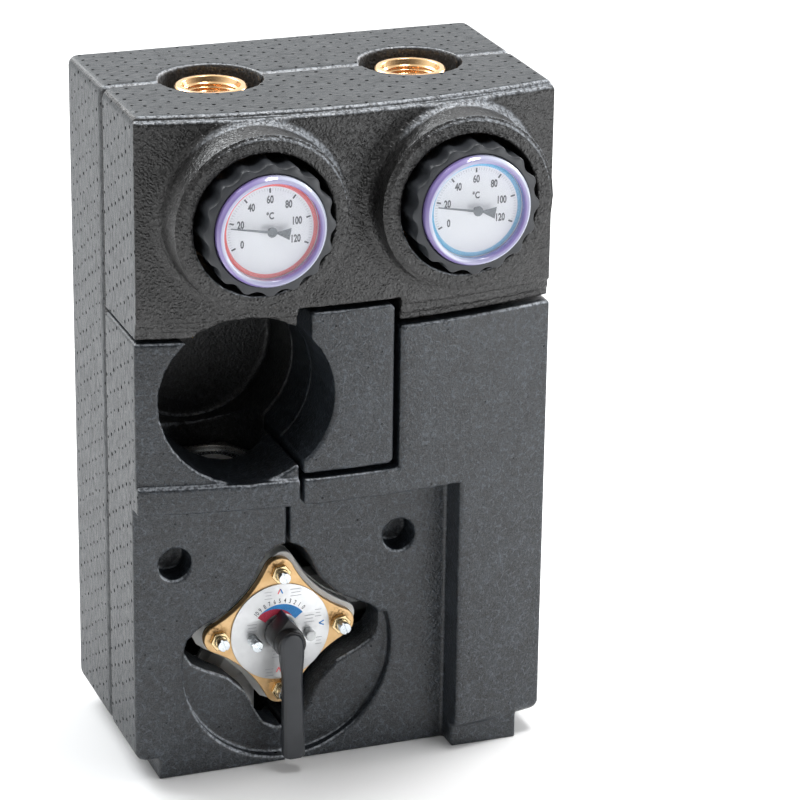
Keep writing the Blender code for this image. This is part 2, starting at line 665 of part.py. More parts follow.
def make_pointer(label, x):
    """A slim needle with a waisted tail, on a spindle through the dial."""
    hub = 0.0029
    tip = 0.0240
    half_tip = 0.0003
    half_root = 0.0007
    waist = 0.0006
    tail = 0.0105
    half_tail = 0.0034
    spread = math.asin(half_root / hub)
    rear_spread = math.asin(waist / hub)
    outline = [(tip, -half_tip), (tip, half_tip)]
    outline += arc((0, 0), hub, spread, math.pi - rear_spread, 6)
    outline += [(-tail, half_tail), (-tail, -half_tail)]
    outline += arc((0, 0), hub, math.pi + rear_spread, 2 * math.pi - spread, 6)
    cosine, sine = math.cos(NEEDLE_REST_ANGLE), math.sin(NEEDLE_REST_ANGLE)
    outline = [(px * cosine - py * sine, px * sine + py * cosine) for px, py in outline]
    needle = plate(label + "_pointer", [outline], 0.0005, (x, NEEDLE_Y, DIAL_Z), FRONTWARD, NEEDLE)
    spindle = rod(label + "_spindle", 0.0009, 0.0055, (x, NEEDLE_Y + 0.0053, DIAL_Z), FRONTWARD, TINY)
    join(needle, spindle)


def make_isolating_valve(label, x):
    """One complete ball valve with its handwheel and thermometer."""
    make_valve_body(label, x)
    make_valve_socket(label, x)
    make_seats(label, x)
    make_ball(label, x)
    make_stem(label, x)
    make_stem_packing(label, x)
    make_handwheel(label, x)
    make_thermometer(label, x)


# ---------------------------------------------------------------- union nuts

NUT_WIDTH_ACROSS_CORNERS = 0.0590
NUT_BORE_RADIUS = 0.0220
NUT_LIP_RADIUS = 0.0186
NUT_HEIGHT = 0.024
NUT_LIP = 0.0037


def make_union_nut(name, x, lip_z, points_down):
    """A hexagon nut whose lip hangs behind a flange; lip_z is the lip's outer face."""
    hexagon = circle(NUT_WIDTH_ACROSS_CORNERS / 2, 6)
    low = lip_z - NUT_HEIGHT if points_down else lip_z
    nut = plate(name, [hexagon], NUT_HEIGHT, (x, LINE_Y, low), UPWARD, BRASS)
    if points_down:
        thread = rod(name + "_thread", NUT_BORE_RADIUS, 0.05, (x, LINE_Y, lip_z - NUT_LIP - 0.05),
                     UPWARD, ROUND)
    else:
        thread = rod(name + "_thread", NUT_BORE_RADIUS, 0.05, (x, LINE_Y, lip_z + NUT_LIP), UPWARD, ROUND)
    lip = rod(name + "_lip", NUT_LIP_RADIUS, 0.08, (x, LINE_Y, lip_z - 0.04), UPWARD, ROUND)
    round_off = NUT_WIDTH_ACROSS_CORNERS / 2
    chamfer = [(round_off + 0.01, NUT_HEIGHT + 0.002), (round_off + 0.01, NUT_HEIGHT - 0.0040),
               (round_off, NUT_HEIGHT - 0.0022), (round_off - 0.0045, NUT_HEIGHT + 0.0006),
               (round_off - 0.0045, NUT_HEIGHT + 0.002)]
    bevel = turned(name + "_chamfer", chamfer, (x, LINE_Y, low), UPWARD, MEDIUM, None, CUTTERS)
    cut(nut, thread, lip, bevel)


# ---------------------------------------------------------------- return line

CHECK_LOW_Z = 0.2150
CHECK_SEAT_Z = 0.285
CHECK_CHAMBER_RADIUS = 0.019
GUIDE_TOP_Z = 0.228
GUIDE_HEIGHT = 0.006
POPPET_RADIUS = 0.0155
POPPET_THICKNESS = 0.0035
POPPET_STEM_RADIUS = 0.0025
POPPET_STEM_END_Z = 0.2195
SPRING_RADIUS = 0.0075
SPRING_WIRE = 0.0006
SPRING_TURNS = 5
TEE_TOP_Z = 0.112
BRANCH_END_X = 0.036


def make_check_valve():
    """Body, guide, poppet and spring of the check valve under the return valve."""
    top = PUMP_TOP_Z - CLEARANCE
    body = [
        (FLANGE_RADIUS, top), (FLANGE_RADIUS, 0.290), (0.024, 0.286), (0.024, CHECK_LOW_Z + 0.004),
        (0.0225, CHECK_LOW_Z), (CHECK_CHAMBER_RADIUS, CHECK_LOW_Z), (CHECK_CHAMBER_RADIUS, CHECK_SEAT_Z),
        (BORE_RADIUS, CHECK_SEAT_Z), (BORE_RADIUS, top)]
    turned("check_valve_body", body, (LINE_X, LINE_Y, 0), finish=BRASS)
    outline = circle(CHECK_CHAMBER_RADIUS - CLEARANCE, MEDIUM)
    windows = [circle(0.0046, 8, (0.0108 * math.cos(a), 0.0108 * math.sin(a)))
               for a in (math.pi / 4 + math.pi / 2 * k for k in range(4))]
    plate("check_valve_guide", [outline, circle(0.0030, TINY)] + windows, GUIDE_HEIGHT,
          (LINE_X, LINE_Y, GUIDE_TOP_Z - GUIDE_HEIGHT), UPWARD, PLASTIC)
    disc_top = CHECK_SEAT_Z - CLEARANCE
    disc_low = disc_top - POPPET_THICKNESS
    poppet = [
        (0, disc_top), (POPPET_RADIUS, disc_top), (POPPET_RADIUS, disc_low + 0.001),
        (POPPET_RADIUS - 0.001, disc_low), (POPPET_STEM_RADIUS, disc_low),
        (POPPET_STEM_RADIUS, POPPET_STEM_END_Z), (0, POPPET_STEM_END_Z)]
    turned("check_valve_poppet", poppet, (LINE_X, LINE_Y, 0), UPWARD, MEDIUM, PLASTIC)
    make_spring("check_valve_spring", GUIDE_TOP_Z + CLEARANCE, disc_low - CLEARANCE)


def make_spring(name, low, high):
    """A helical spring standing between two heights on the return axis."""
    curve = bpy.data.curves.new(name, "CURVE")
    curve.dimensions = "3D"
    curve.bevel_depth = SPRING_WIRE
    curve.bevel_resolution = 0
    curve.use_fill_caps = True
    count = SPRING_TURNS * 9
    spline = curve.splines.new("POLY")
    spline.points.add(count)
    rise = high - low - 2 * SPRING_WIRE
    for index, point in enumerate(spline.points):
        share = index / count
        angle = 2 * math.pi * SPRING_TURNS * share
        point.co = (SPRING_RADIUS * math.cos(angle), SPRING_RADIUS * math.sin(angle),
                    SPRING_WIRE + rise * share, 1)
    curve.materials.append(STEEL)
    spring = bpy.data.objects.new(name, curve)
    spring.location = (LINE_X, LINE_Y, low)
    PARTS.objects.link(spring)


def make_return_pipe():
    """The straight pipe between the check valve and the tee."""
    top = CHECK_LOW_Z - CLEARANCE
    low = TEE_TOP_Z + CLEARANCE
    profile = [
        (0.0225, top), (0.0225, top - 0.010), (TAIL_RADIUS, top - 0.014), (TAIL_RADIUS, low + 0.004),
        (TAIL_RADIUS, low), (0.015, low), (0.015, top)]
    turned("return_pipe", profile, (LINE_X, LINE_Y, 0), finish=STEEL)


def make_return_tee():
    """The tee that feeds the mixing valve and ends in the lower return port."""
    profile = [
        (0.0215, TEE_TOP_Z), (0.0215, 0.058), (0.0238, 0.050), (0.0238, PORT_BOTTOM_Z),
        (0.015, PORT_BOTTOM_Z), (0.015, TEE_TOP_Z)]
    tee = turned("return_tee", profile, (LINE_X, LINE_Y, 0), finish=BRASS)
    branch = rod("tee_branch", TAIL_RADIUS, LINE_X - 0.018 - BRANCH_END_X,
                 (LINE_X - 0.018, LINE_Y, VALVE_Z), LEFTWARD, MEDIUM)
    bore = rod("tee_branch_bore", 0.012, 0.06, (LINE_X, LINE_Y, VALVE_Z), LEFTWARD, MEDIUM)
    join(tee, branch)
    cut(tee, bore)


def make_bypass_pipe():
    """The short pipe from the tee to the mixing valve."""
    length = BRANCH_END_X - MIXER_PORT_X - 2 * CLEARANCE
    profile = [
        (0.0165, length), (0.0165, 0), (0.012, 0), (0.012, length)]
    turned("bypass_pipe", profile, (BRANCH_END_X - CLEARANCE, LINE_Y, VALVE_Z), LEFTWARD, MEDIUM, STEEL)


# ---------------------------------------------------------------- mixing valve

MIXER_PORT_X = 0.013
ELBOW_RADIUS = 0.0165
ELBOW_BORE_RADIUS = 0.0115
ROTOR_RADIUS = 0.0254
ROTOR_LENGTH = 0.046
SHAFT_RADIUS = 0.0055
HUB_RADIUS = 0.0100
HUB_BORE_RADIUS = SHAFT_RADIUS + CLEARANCE
DISC_RADIUS = 0.0305
DISC_THICKNESS = 0.0008
DISC_HOLE_RADIUS = 0.0112
HUB_BACK_Y = -0.0243
HUB_FRONT_Y = -0.0466
STOP_RADIUS = 0.0172
GASKET_THICKNESS = 0.001


def tilted_rod(name, radius, start, end, steps=SMALL):
    """A cylinder between two points."""
    start, end = Vector(start), Vector(end)
    turn = (end - start).to_track_quat("Z", "Y").to_euler()
    return rod(name, radius, (end - start).length, start, turn, steps)


def screw_places():
    """The four cover screws: left, top, right and bottom."""
    places = []
    for quarter in range(4):
        angle = quarter * math.pi / 2
        x = VALVE_X + SCREW_CIRCLE_RADIUS * math.cos(angle)
        z = VALVE_Z + SCREW_CIRCLE_RADIUS * math.sin(angle)
        places.append((x, z))
    return places


def screw_holes(owner):
    """Cutters for the four screws."""
    return [rod("%s_screw_hole_%d" % (owner, i + 1), SCREW_HOLE_RADIUS, 0.04, (x, 0, z), FRONTWARD, TINY)
            for i, (x, z) in enumerate(screw_places())]


def stop_places():
    """The two pins in the cover that stand beside the lever hub: left, right."""
    return [(VALVE_X - STOP_RADIUS, VALVE_Z - 0.003), (VALVE_X + STOP_RADIUS, VALVE_Z - 0.003)]


def make_mixer_body():
    """The painted casting: a round chamber, a lobed flange and three ports."""
    back = CHAMBER_BACK_Y + 0.006
    body = rod("mixer_body", 0.033, back - FLANGE_Y - 0.002, (VALVE_X, back, VALVE_Z),
               FRONTWARD, ROUND, CASTING, PARTS)
    flange = plate("mixer_flange", [lobed(*FLANGE_LOBES)], FLANGE_THICKNESS,
                   (VALVE_X, FLANGE_Y + FLANGE_THICKNESS, VALVE_Z), FRONTWARD, None, CUTTERS)
    x = -LINE_X
    upper = [
        (0, PUMP_BOTTOM_Z), (FLANGE_RADIUS, PUMP_BOTTOM_Z), (FLANGE_RADIUS, PUMP_BOTTOM_Z - 0.004),
        (TAIL_RADIUS, PUMP_BOTTOM_Z - 0.004), (TAIL_RADIUS, 0.150), (0.020, 0.146), (0.020, 0.118),
        (0, 0.118)]
    lower = [(0, 0.042), (0.020, 0.042), (0.0238, 0.036), (0.0238, PORT_BOTTOM_Z), (0, PORT_BOTTOM_Z)]
    top_stub = turned("mixer_top_stub", upper, (x, LINE_Y, 0), UPWARD, MEDIUM, None, CUTTERS)
    low_stub = turned("mixer_low_stub", lower, (x, LINE_Y, 0), UPWARD, MEDIUM, None, CUTTERS)
    top_elbow = tilted_rod("mixer_top_elbow", ELBOW_RADIUS, (x, LINE_Y, 0.126), (-0.040, LINE_Y, 0.092))
    low_elbow = tilted_rod("mixer_low_elbow", ELBOW_RADIUS, (x, LINE_Y, 0.034), (-0.040, LINE_Y, 0.067))
    side = rod("mixer_side_port", TAIL_RADIUS, MIXER_PORT_X - VALVE_X, (MIXER_PORT_X, LINE_Y, VALVE_Z),
               LEFTWARD, MEDIUM)
    join(body, flange, top_stub, low_stub, top_elbow, low_elbow, side)
    chamber = rod("mixer_chamber", CHAMBER_RADIUS, 0.08, (VALVE_X, CHAMBER_BACK_Y, VALVE_Z),
                  FRONTWARD, ROUND)
    top_bore = rod("mixer_top_bore", BORE_RADIUS, 0.06, (x, LINE_Y, 0.124), UPWARD, MEDIUM)
    low_bore = rod("mixer_low_bore", BORE_RADIUS, 0.05, (x, LINE_Y, -0.014), UPWARD, MEDIUM)
    top_turn = tilted_rod("mixer_top_turn", ELBOW_BORE_RADIUS, (x, LINE_Y, 0.129),
                          (-0.040, LINE_Y, 0.092), SMALL)
    low_turn = tilted_rod("mixer_low_turn", ELBOW_BORE_RADIUS, (x, LINE_Y, 0.031),
                          (-0.040, LINE_Y, 0.067), SMALL)
    side_bore = rod("mixer_side_bore", 0.012, MIXER_PORT_X - VALVE_X + 0.01,
                    (MIXER_PORT_X + 0.01, LINE_Y, VALVE_Z), LEFTWARD, MEDIUM)
    cut(body, chamber, top_bore, low_bore, top_turn, low_turn, side_bore,
        *screw_holes("flange"))


def make_mixer_cover():
    """Gasket, brass cover plate and printed scale disc in front of the chamber."""
    gasket_back = FLANGE_Y - CLEARANCE
    gasket = plate("mixer_gasket", [lobed(*GASKET_LOBES), circle(0.022, SMALL)],
                   GASKET_THICKNESS - CLEARANCE, (VALVE_X, gasket_back, VALVE_Z), FRONTWARD, RUBBER)
    cut(gasket, *screw_holes("gasket"))
    cover = plate("mixer_cover_plate",
                  [lobed(*COVER_LOBES), circle(HUB_BORE_RADIUS + 0.0025, SMALL)],
                  COVER_THICKNESS, (VALVE_X, COVER_Y + COVER_THICKNESS, VALVE_Z), FRONTWARD, BRASS)
    cut(cover, *screw_holes("cover"))
    pins = [rod("cover_pin_hole_%d" % (i + 1), 0.0024, 0.04, (px, COVER_Y + 0.0035, pz), FRONTWARD, TINY)
            for i, (px, pz) in enumerate(stop_places())]
    cut(cover, *pins)
    pin_holes = [circle(0.0026, TINY, (px - VALVE_X, pz - VALVE_Z)) for px, pz in stop_places()]
    plate("mixer_scale_disc", [circle(DISC_RADIUS, FINE), circle(DISC_HOLE_RADIUS, MEDIUM)] + pin_holes,
          DISC_THICKNESS, (VALVE_X, COVER_Y - CLEARANCE, VALVE_Z), FRONTWARD, LABEL)


def make_cover_screws():
    """Four slotted screws with a hexagon collar."""
    reach = -FLANGE_Y - 0.007
    head = -COVER_Y + CLEARANCE
    for index, (x, z) in enumerate(screw_places()):
        profile = [
            (0, head + 0.0100), (0.0030, head + 0.0100), (0.0036, head + 0.0094), (0.0036, head + 0.0016),
            (0.0058, head + 0.0016), (0.0058, head), (0.0028, head), (0.0028, reach), (0, reach)]
        name = "cover_screw_%d" % (index + 1)
        screw = turned(name, profile, (x, 0, z), FRONTWARD, SMALL, STEEL)
        top = -(head + 0.0100)
        cut(screw, box(name + "_slot", (x - 0.0006, top - 0.002, z - 0.006),
                       (x + 0.0006, top + 0.0014, z + 0.006)))


def make_stop_pins():
    """The slotted stop screw on the left and the capped pin on the right."""
    root = -COVER_Y - 0.0030
    places = stop_places()
    head = -COVER_Y + DISC_THICKNESS + 2 * CLEARANCE
    stop = [
        (0, head + 0.0105), (0.0034, head + 0.0105), (0.0034, head), (0.0021, head), (0.0021, root),
        (0, root)]
    x, z = places[0]
    screw = turned("lever_stop_screw", stop, (x, 0, z), FRONTWARD, SMALL, STEEL)
    top = -(head + 0.0105)
    cut(screw, box("stop_screw_slot", (x - 0.005, top - 0.002, z - 0.0007),
                   (x + 0.005, top + 0.0016, z + 0.0007)))
    cap = [
        (0, head + 0.0062), (0.0026, head + 0.0062), (0.0032, head + 0.0056), (0.0032, head),
        (0.0021, head), (0.0021, root), (0, root)]
    x, z = places[1]
    turned("lever_stop_pin", cap, (x, 0, z), FRONTWARD, SMALL, PTFE)


def make_mixer_rotor():
    """The shutter that turns in the chamber, with its shaft, and the shaft's seal."""
    back = CHAMBER_BACK_Y - CLEARANCE * 2
    rotor = rod("mixer_rotor", ROTOR_RADIUS, ROTOR_LENGTH, (VALVE_X, back, VALVE_Z), FRONTWARD, ROUND,
                BRASS, PARTS)
    waist = box("rotor_waist", (VALVE_X - 0.03, back - ROTOR_LENGTH + 0.004, VALVE_Z - 0.03),
                (VALVE_X + 0.009, back - 0.004, VALVE_Z + 0.03))
    shaft = rod("rotor_shaft", SHAFT_RADIUS, back - 0.002 - (HUB_FRONT_Y + 0.006),
                (VALVE_X, back - 0.002, VALVE_Z), FRONTWARD, SMALL)
    cut(rotor, waist)
    join(rotor, shaft)
    front = COVER_Y + CLEARANCE
    back_face = COVER_Y + COVER_THICKNESS - 0.0002
    hole = SHAFT_RADIUS + CLEARANCE
    outer = HUB_BORE_RADIUS + 0.0025 - CLEARANCE
    seal = [(outer, -front), (outer, -back_face), (hole, -back_face), (hole, -front)]
    turned("mixer_shaft_seal", seal, (VALVE_X, 0, VALVE_Z), FRONTWARD, SMALL, RUBBER)


def make_mixer_lever():
    """The plastic lever: hub, pointed nose and a long arm that leans forward."""
    hub = turned("mixer_lever", [
        (0, -HUB_FRONT_Y), (0.0080, -HUB_FRONT_Y), (HUB_RADIUS - 0.0008, -HUB_FRONT_Y - 0.0012),
        (HUB_RADIUS, -HUB_FRONT_Y - 0.006), (HUB_RADIUS, -HUB_BACK_Y), (0, -HUB_BACK_Y)],
        (VALVE_X, 0, VALVE_Z), FRONTWARD, MEDIUM, PLASTIC)
    nose_tip = 0.0150
    root = 0.0094
    lean = math.acos(root / nose_tip)
    nose_outline = [(0, nose_tip)]
    nose_outline += arc((0, 0), root, math.pi / 2 + lean, 2.5 * math.pi - lean, 16)
    nose = plate("lever_nose", [nose_outline], 0.0150, (VALVE_X, HUB_BACK_Y - 0.0005, VALVE_Z),
                 FRONTWARD, None, CUTTERS)
    length = VALVE_Z - LEVER_END_Z
    half = 0.0068
    arm_outline = arc((0, 0), half, 0, math.pi, 10)
    arm_outline += [(-half, -0.020), (-0.0060, -0.030), (-0.0066, -length + 0.0015),
                    (-0.0046, -length), (0.0046, -length), (0.0066, -length + 0.0015),
                    (0.0060, -0.030), (half, -0.020)]
    arm = plate("lever_arm", [arm_outline], 0.0065, (VALVE_X, HUB_FRONT_Y + 0.0055, VALVE_Z),
                (math.pi / 2 - math.radians(3.5), 0, 0), None, CUTTERS)
    bore = rod("lever_bore", HUB_BORE_RADIUS, 0.0169 + CLEARANCE, (VALVE_X, HUB_BACK_Y + 0.0005, VALVE_Z),
               FRONTWARD, SMALL)
    join(hub, nose, arm)
    cut(hub, bore)


# ---------------------------------------------------------------- assembly

def build():
    """Every piece of the pump group."""
    tools = housing_cutters()
    make_back_shell(tools)
    make_upper_front_shell(tools)
    make_lower_front_shells(tools)
    make_insert(tools)
    make_wall_bracket()
    for label, side in (("flow", -1), ("return", 1)):
        make_isolating_valve(label, side * LINE_X)
    make_union_nut("pump_nut_upper", -LINE_X, PUMP_TOP_Z + 0.004 + CLEARANCE + NUT_LIP, True)
    make_union_nut("pump_nut_lower", -LINE_X, PUMP_BOTTOM_Z + 0.002 - NUT_HEIGHT, False)
    make_check_valve()
    make_return_pipe()
    make_return_tee()
    make_bypass_pipe()
    make_mixer_body()
    make_mixer_cover()
    make_cover_screws()
    make_stop_pins()
    make_mixer_rotor()
    make_mixer_lever()


build()
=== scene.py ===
"""Looks of the mixed heating-circuit pump group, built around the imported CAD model.

Metres, +Z up, the front faces -Y. Every new piece rides on a CAD body.
"""
import math

import bmesh
import bpy
from mathutils import Matrix, Vector


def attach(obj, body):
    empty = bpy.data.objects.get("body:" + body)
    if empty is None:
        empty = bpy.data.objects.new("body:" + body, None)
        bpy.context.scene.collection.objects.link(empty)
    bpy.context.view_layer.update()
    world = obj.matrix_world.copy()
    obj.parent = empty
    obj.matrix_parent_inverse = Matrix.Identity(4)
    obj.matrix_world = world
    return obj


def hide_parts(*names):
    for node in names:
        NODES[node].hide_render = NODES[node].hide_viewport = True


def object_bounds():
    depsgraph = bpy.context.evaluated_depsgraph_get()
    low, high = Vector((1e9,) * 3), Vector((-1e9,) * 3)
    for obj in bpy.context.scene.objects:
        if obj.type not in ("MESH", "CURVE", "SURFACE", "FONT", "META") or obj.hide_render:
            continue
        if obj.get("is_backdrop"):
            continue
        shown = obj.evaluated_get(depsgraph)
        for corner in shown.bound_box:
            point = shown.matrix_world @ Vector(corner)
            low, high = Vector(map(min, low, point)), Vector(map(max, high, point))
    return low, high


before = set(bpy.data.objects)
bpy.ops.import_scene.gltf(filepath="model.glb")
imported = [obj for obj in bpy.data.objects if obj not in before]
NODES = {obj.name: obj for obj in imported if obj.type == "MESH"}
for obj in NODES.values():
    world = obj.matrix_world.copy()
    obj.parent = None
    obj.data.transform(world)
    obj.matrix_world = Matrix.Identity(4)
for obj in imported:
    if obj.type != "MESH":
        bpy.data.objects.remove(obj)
CAD_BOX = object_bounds()

# Local Z towards the front, local X to the right, local Y up
FRONTWARD = (math.pi / 2, 0, 0)
UPWARD = (0, 0, 0)

LINE_X = 0.060
LINE_Y = 0.019
DIAL_Z = 0.351
COLLAR_RADIUS = 0.0510
COLLAR_Y = -0.0786
CREST_Y = -0.0596
ARC_RADIUS = 0.5037
TOP_Z = 0.408
HALF_WIDTH = 0.124
VALVE_X = -0.0325
VALVE_Z = 0.0795
COVER_Y = -0.0226
FLANGE_Y = -0.016
SCREW_CIRCLE = 0.0375

# Brightness of the studio in front of the object and behind it
WORLD_FRONT = 0.10
WORLD_BACK = 1.30


# --- node materials ---

class Shader:
    """A material whose nodes are added one call at a time."""

    def __init__(self, name):
        self.material = bpy.data.materials.new(name)
        self.material.use_nodes = True
        self.tree = self.material.node_tree
        self.surface = self.tree.nodes["Principled BSDF"]

    def node(self, kind, inputs=(), **settings):
        """Add a node; inputs are (socket, value or socket) pairs."""
        made = self.tree.nodes.new(kind)
        for key, value in settings.items():
            setattr(made, key, value)
        for key, value in inputs:
            self.put(made.inputs[key], value)
        return made

    def put(self, socket, value):
        """Link a socket or set its value."""
        if isinstance(value, bpy.types.NodeSocket):
            self.tree.links.new(value, socket)
        else:
            socket.default_value = value

    def set(self, **values):
        """Set inputs of the Principled node; underscores stand for spaces."""
        for key, value in values.items():
            socket = self.surface.inputs[key.replace("_", " ")]
            if isinstance(value, tuple) and len(value) == 3 and socket.type == "RGBA":
                value = (*value, 1)
            self.put(socket, value)
        return self

    def maths(self, operation, *values, clamp=False):
        """A Math node's result."""
        pairs = list(enumerate(values))
        return self.node("ShaderNodeMath", pairs, operation=operation, use_clamp=clamp).outputs[0]

    def product(self, first, *others):
        """Values multiplied together."""
        for other in others:
            first = self.maths("MULTIPLY", first, other)
        return first

    def total(self, first, *others):
        """Values added together."""
        for other in others:
            first = self.maths("ADD", first, other)
        return first

    def away(self, x, y):
        """The length of a flat vector."""
        return self.maths("SQRT", self.total(self.product(x, x), self.product(y, y)))

    def point(self):
        """The place on the mesh, in metres."""
        return self.node("ShaderNodeTexCoord").outputs["Object"]

    def parts(self, vector):
        """The three numbers of a vector."""
        return self.node("ShaderNodeSeparateXYZ", [(0, vector)]).outputs

    def vector(self, x, y, z):
        """A vector of three numbers."""
        return self.node("ShaderNodeCombineXYZ", [(0, x), (1, y), (2, z)]).outputs[0]

    def noise(self, point, scale, detail=2.0, roughness=0.5):
        """A noise value about one half."""
        inputs = [("Vector", point), ("Scale", scale), ("Detail", detail), ("Roughness", roughness)]
        return self.node("ShaderNodeTexNoise", inputs).outputs["Fac"]

    def ramp(self, value, low, high, start=0.0, end=1.0, smooth=True):
        """Map a value's stretch to another, held at both ends."""
        kind = "SMOOTHSTEP" if smooth else "LINEAR"
        inputs = [("Value", value), ("From Min", low), ("From Max", high),
                  ("To Min", start), ("To Max", end)]
        return self.node("ShaderNodeMapRange", inputs, interpolation_type=kind).outputs["Result"]

    def mix(self, share, first, second):
        """Mix two colours."""
        node = self.node("ShaderNodeMix", data_type="RGBA")
        self.put(node.inputs[0], share)
        for index, colour in ((6, first), (7, second)):
            if isinstance(colour, tuple):
                colour = (*colour[:3], 1)
            self.put(node.inputs[index], colour)
        return node.outputs[2]

    def bump(self, height, distance, strength=1.0, normal=None):
        """A bumped normal."""
        inputs = [("Height", height), ("Distance", distance), ("Strength", strength)]
        if normal is not None:
            inputs.append(("Normal", normal))
        return self.node("ShaderNodeBump", inputs).outputs["Normal"]


CALM_DARK = (0.026, 0.029, 0.032)
CALM_LIGHT = (0.062, 0.068, 0.073)
SKIN = 0.0035


def foam(name, dark, light, pitch, hole, crinkle, hole_share=1.0, edge_sheen=0.75):
    """Moulded bead foam: mottled, grained, with the mould's pinholes on its flat outer faces, painted shade
    in the pinholes and a painted sheen on rounded edges that face up and forward.
    """
    s = Shader(name)
    place = s.point()
    px, py, pz = s.parts(place)
    nx, ny, nz = s.parts(s.node("ShaderNodeNewGeometry").outputs["Normal"])
    # The outermost layer of the housing, at its sides and at its top and bottom
    off_middle = s.maths("ABSOLUTE", s.maths("SUBTRACT", pz, TOP_Z / 2))
    on_side = s.product(s.ramp(s.maths("ABSOLUTE", nx), 0.80, 0.92),
                        s.maths("GREATER_THAN", s.maths("ABSOLUTE", px), HALF_WIDTH - SKIN))
    on_top = s.product(s.ramp(s.maths("ABSOLUTE", nz), 0.80, 0.92),
                       s.maths("GREATER_THAN", off_middle, TOP_Z / 2 - SKIN))
    on_front = s.ramp(s.maths("ABSOLUTE", ny), 0.80, 0.92)
    plain = s.maths("MAXIMUM", on_side, on_top)

    wobble = s.node("ShaderNodeTexNoise", [("Vector", place), ("Scale", 160.0), ("Detail", 1.0)])
    bent = s.node("ShaderNodeVectorMath", [(0, wobble.outputs["Color"]), (1, (0.5, 0.5, 0.5))],
                  operation="SUBTRACT").outputs[0]
    bent = s.node("ShaderNodeVectorMath", [(0, bent), (3, 0.0045)], operation="SCALE").outputs[0]
    bent = s.node("ShaderNodeVectorMath", [(0, place), (1, bent)], operation="ADD").outputs[0]

    beads = s.node("ShaderNodeTexVoronoi", [("Vector", bent), ("Scale", 190.0)],
                   feature="DISTANCE_TO_EDGE").outputs["Distance"]
    rims = s.product(s.ramp(beads, 0.02, 0.14, 1.0, 0.0),
                     s.ramp(s.noise(place, 420.0, 3.0, 0.6), 0.46, 0.62))
    small = s.node("ShaderNodeTexVoronoi", [("Vector", bent), ("Scale", 520.0)], feature="F1")
    cells = s.parts(small.outputs["Color"])[0]
    grain = s.noise(place, 1500.0, 2.0, 0.6)
    blotch = s.noise(place, 60.0, 3.0, 0.6)
    streak_at = s.vector(
        s.product(px, s.ramp(on_top, 0, 1, 1.0, 0.12)), py,
        s.product(pz, s.ramp(on_side, 0, 1, 1.0, 0.12)))
    streak = s.noise(streak_at, 1400.0, 2.0, 0.5)

    mottle = s.ramp(blotch, 0.3, 0.7)
    share = s.total(s.product(rims, 0.70), s.product(cells, 0.32), s.product(mottle, 0.22))
    share = s.maths("ADD", share, s.product(s.ramp(grain, 0.3, 0.7, -0.5, 0.5), 0.55), clamp=True)
    calm = s.maths("ADD", s.product(s.ramp(streak, 0.25, 0.75), 0.60), s.product(mottle, 0.30), clamp=True)
    colour = s.mix(plain, s.mix(share, dark, light), s.mix(calm, CALM_DARK, CALM_LIGHT))

    # Painted sheen: rounded edges that face up and forward are painted lighter as the highlight of the lamp
    # above, with a speckle
    lit = s.product(s.ramp(s.total(nz, s.product(nx, 0.5)), 0.28, 0.70), s.ramp(nz, 0.86, 0.97, 1.0, 0.0),
                    s.ramp(ny, -0.35, -0.10, 1.0, 0.0),
                    s.ramp(s.noise(place, 520.0, 3.0, 0.6), 0.38, 0.60, 0.25, 1.0))
    colour = s.mix(s.product(lit, edge_sheen), colour, (0.44, 0.47, 0.51))

    holes = pinholes(s, px, py, pz, on_side, on_top, on_front, pitch, hole, hole_share)
    # Painted shade: the pinholes are painted near-black, standing for the shade inside them
    colour = s.mix(s.product(holes, 0.92), colour, (0.006, 0.006, 0.007))

    lumps = s.ramp(small.outputs["Distance"], 0.0, 0.7, 1.0, 0.0)
    lumps = s.product(lumps, s.ramp(plain, 0, 1, crinkle, crinkle * 0.12))
    height = s.total(s.product(rims, 0.30), lumps, s.product(grain, 0.35), s.product(streak, plain, 1.2))
    height = s.maths("SUBTRACT", height, s.product(holes, 2.5))
    # The gloss is taken out of the pinholes too, as part of their painted shade
    open_share = s.maths("SUBTRACT", 1.0, holes)
    gloss = s.ramp(streak, 0.3, 0.7, s.ramp(plain, 0, 1, 0.40, 0.10), s.ramp(plain, 0, 1, 0.80, 0.50))
    rough = s.ramp(grain, 0.2, 0.8, s.ramp(plain, 0, 1, 0.26, 0.34), s.ramp(plain, 0, 1, 0.44, 0.52))
    s.set(Base_Color=colour, Roughness=rough, Specular_IOR_Level=s.product(gloss, open_share),
          Normal=s.bump(height, 0.00034))
    return s.material


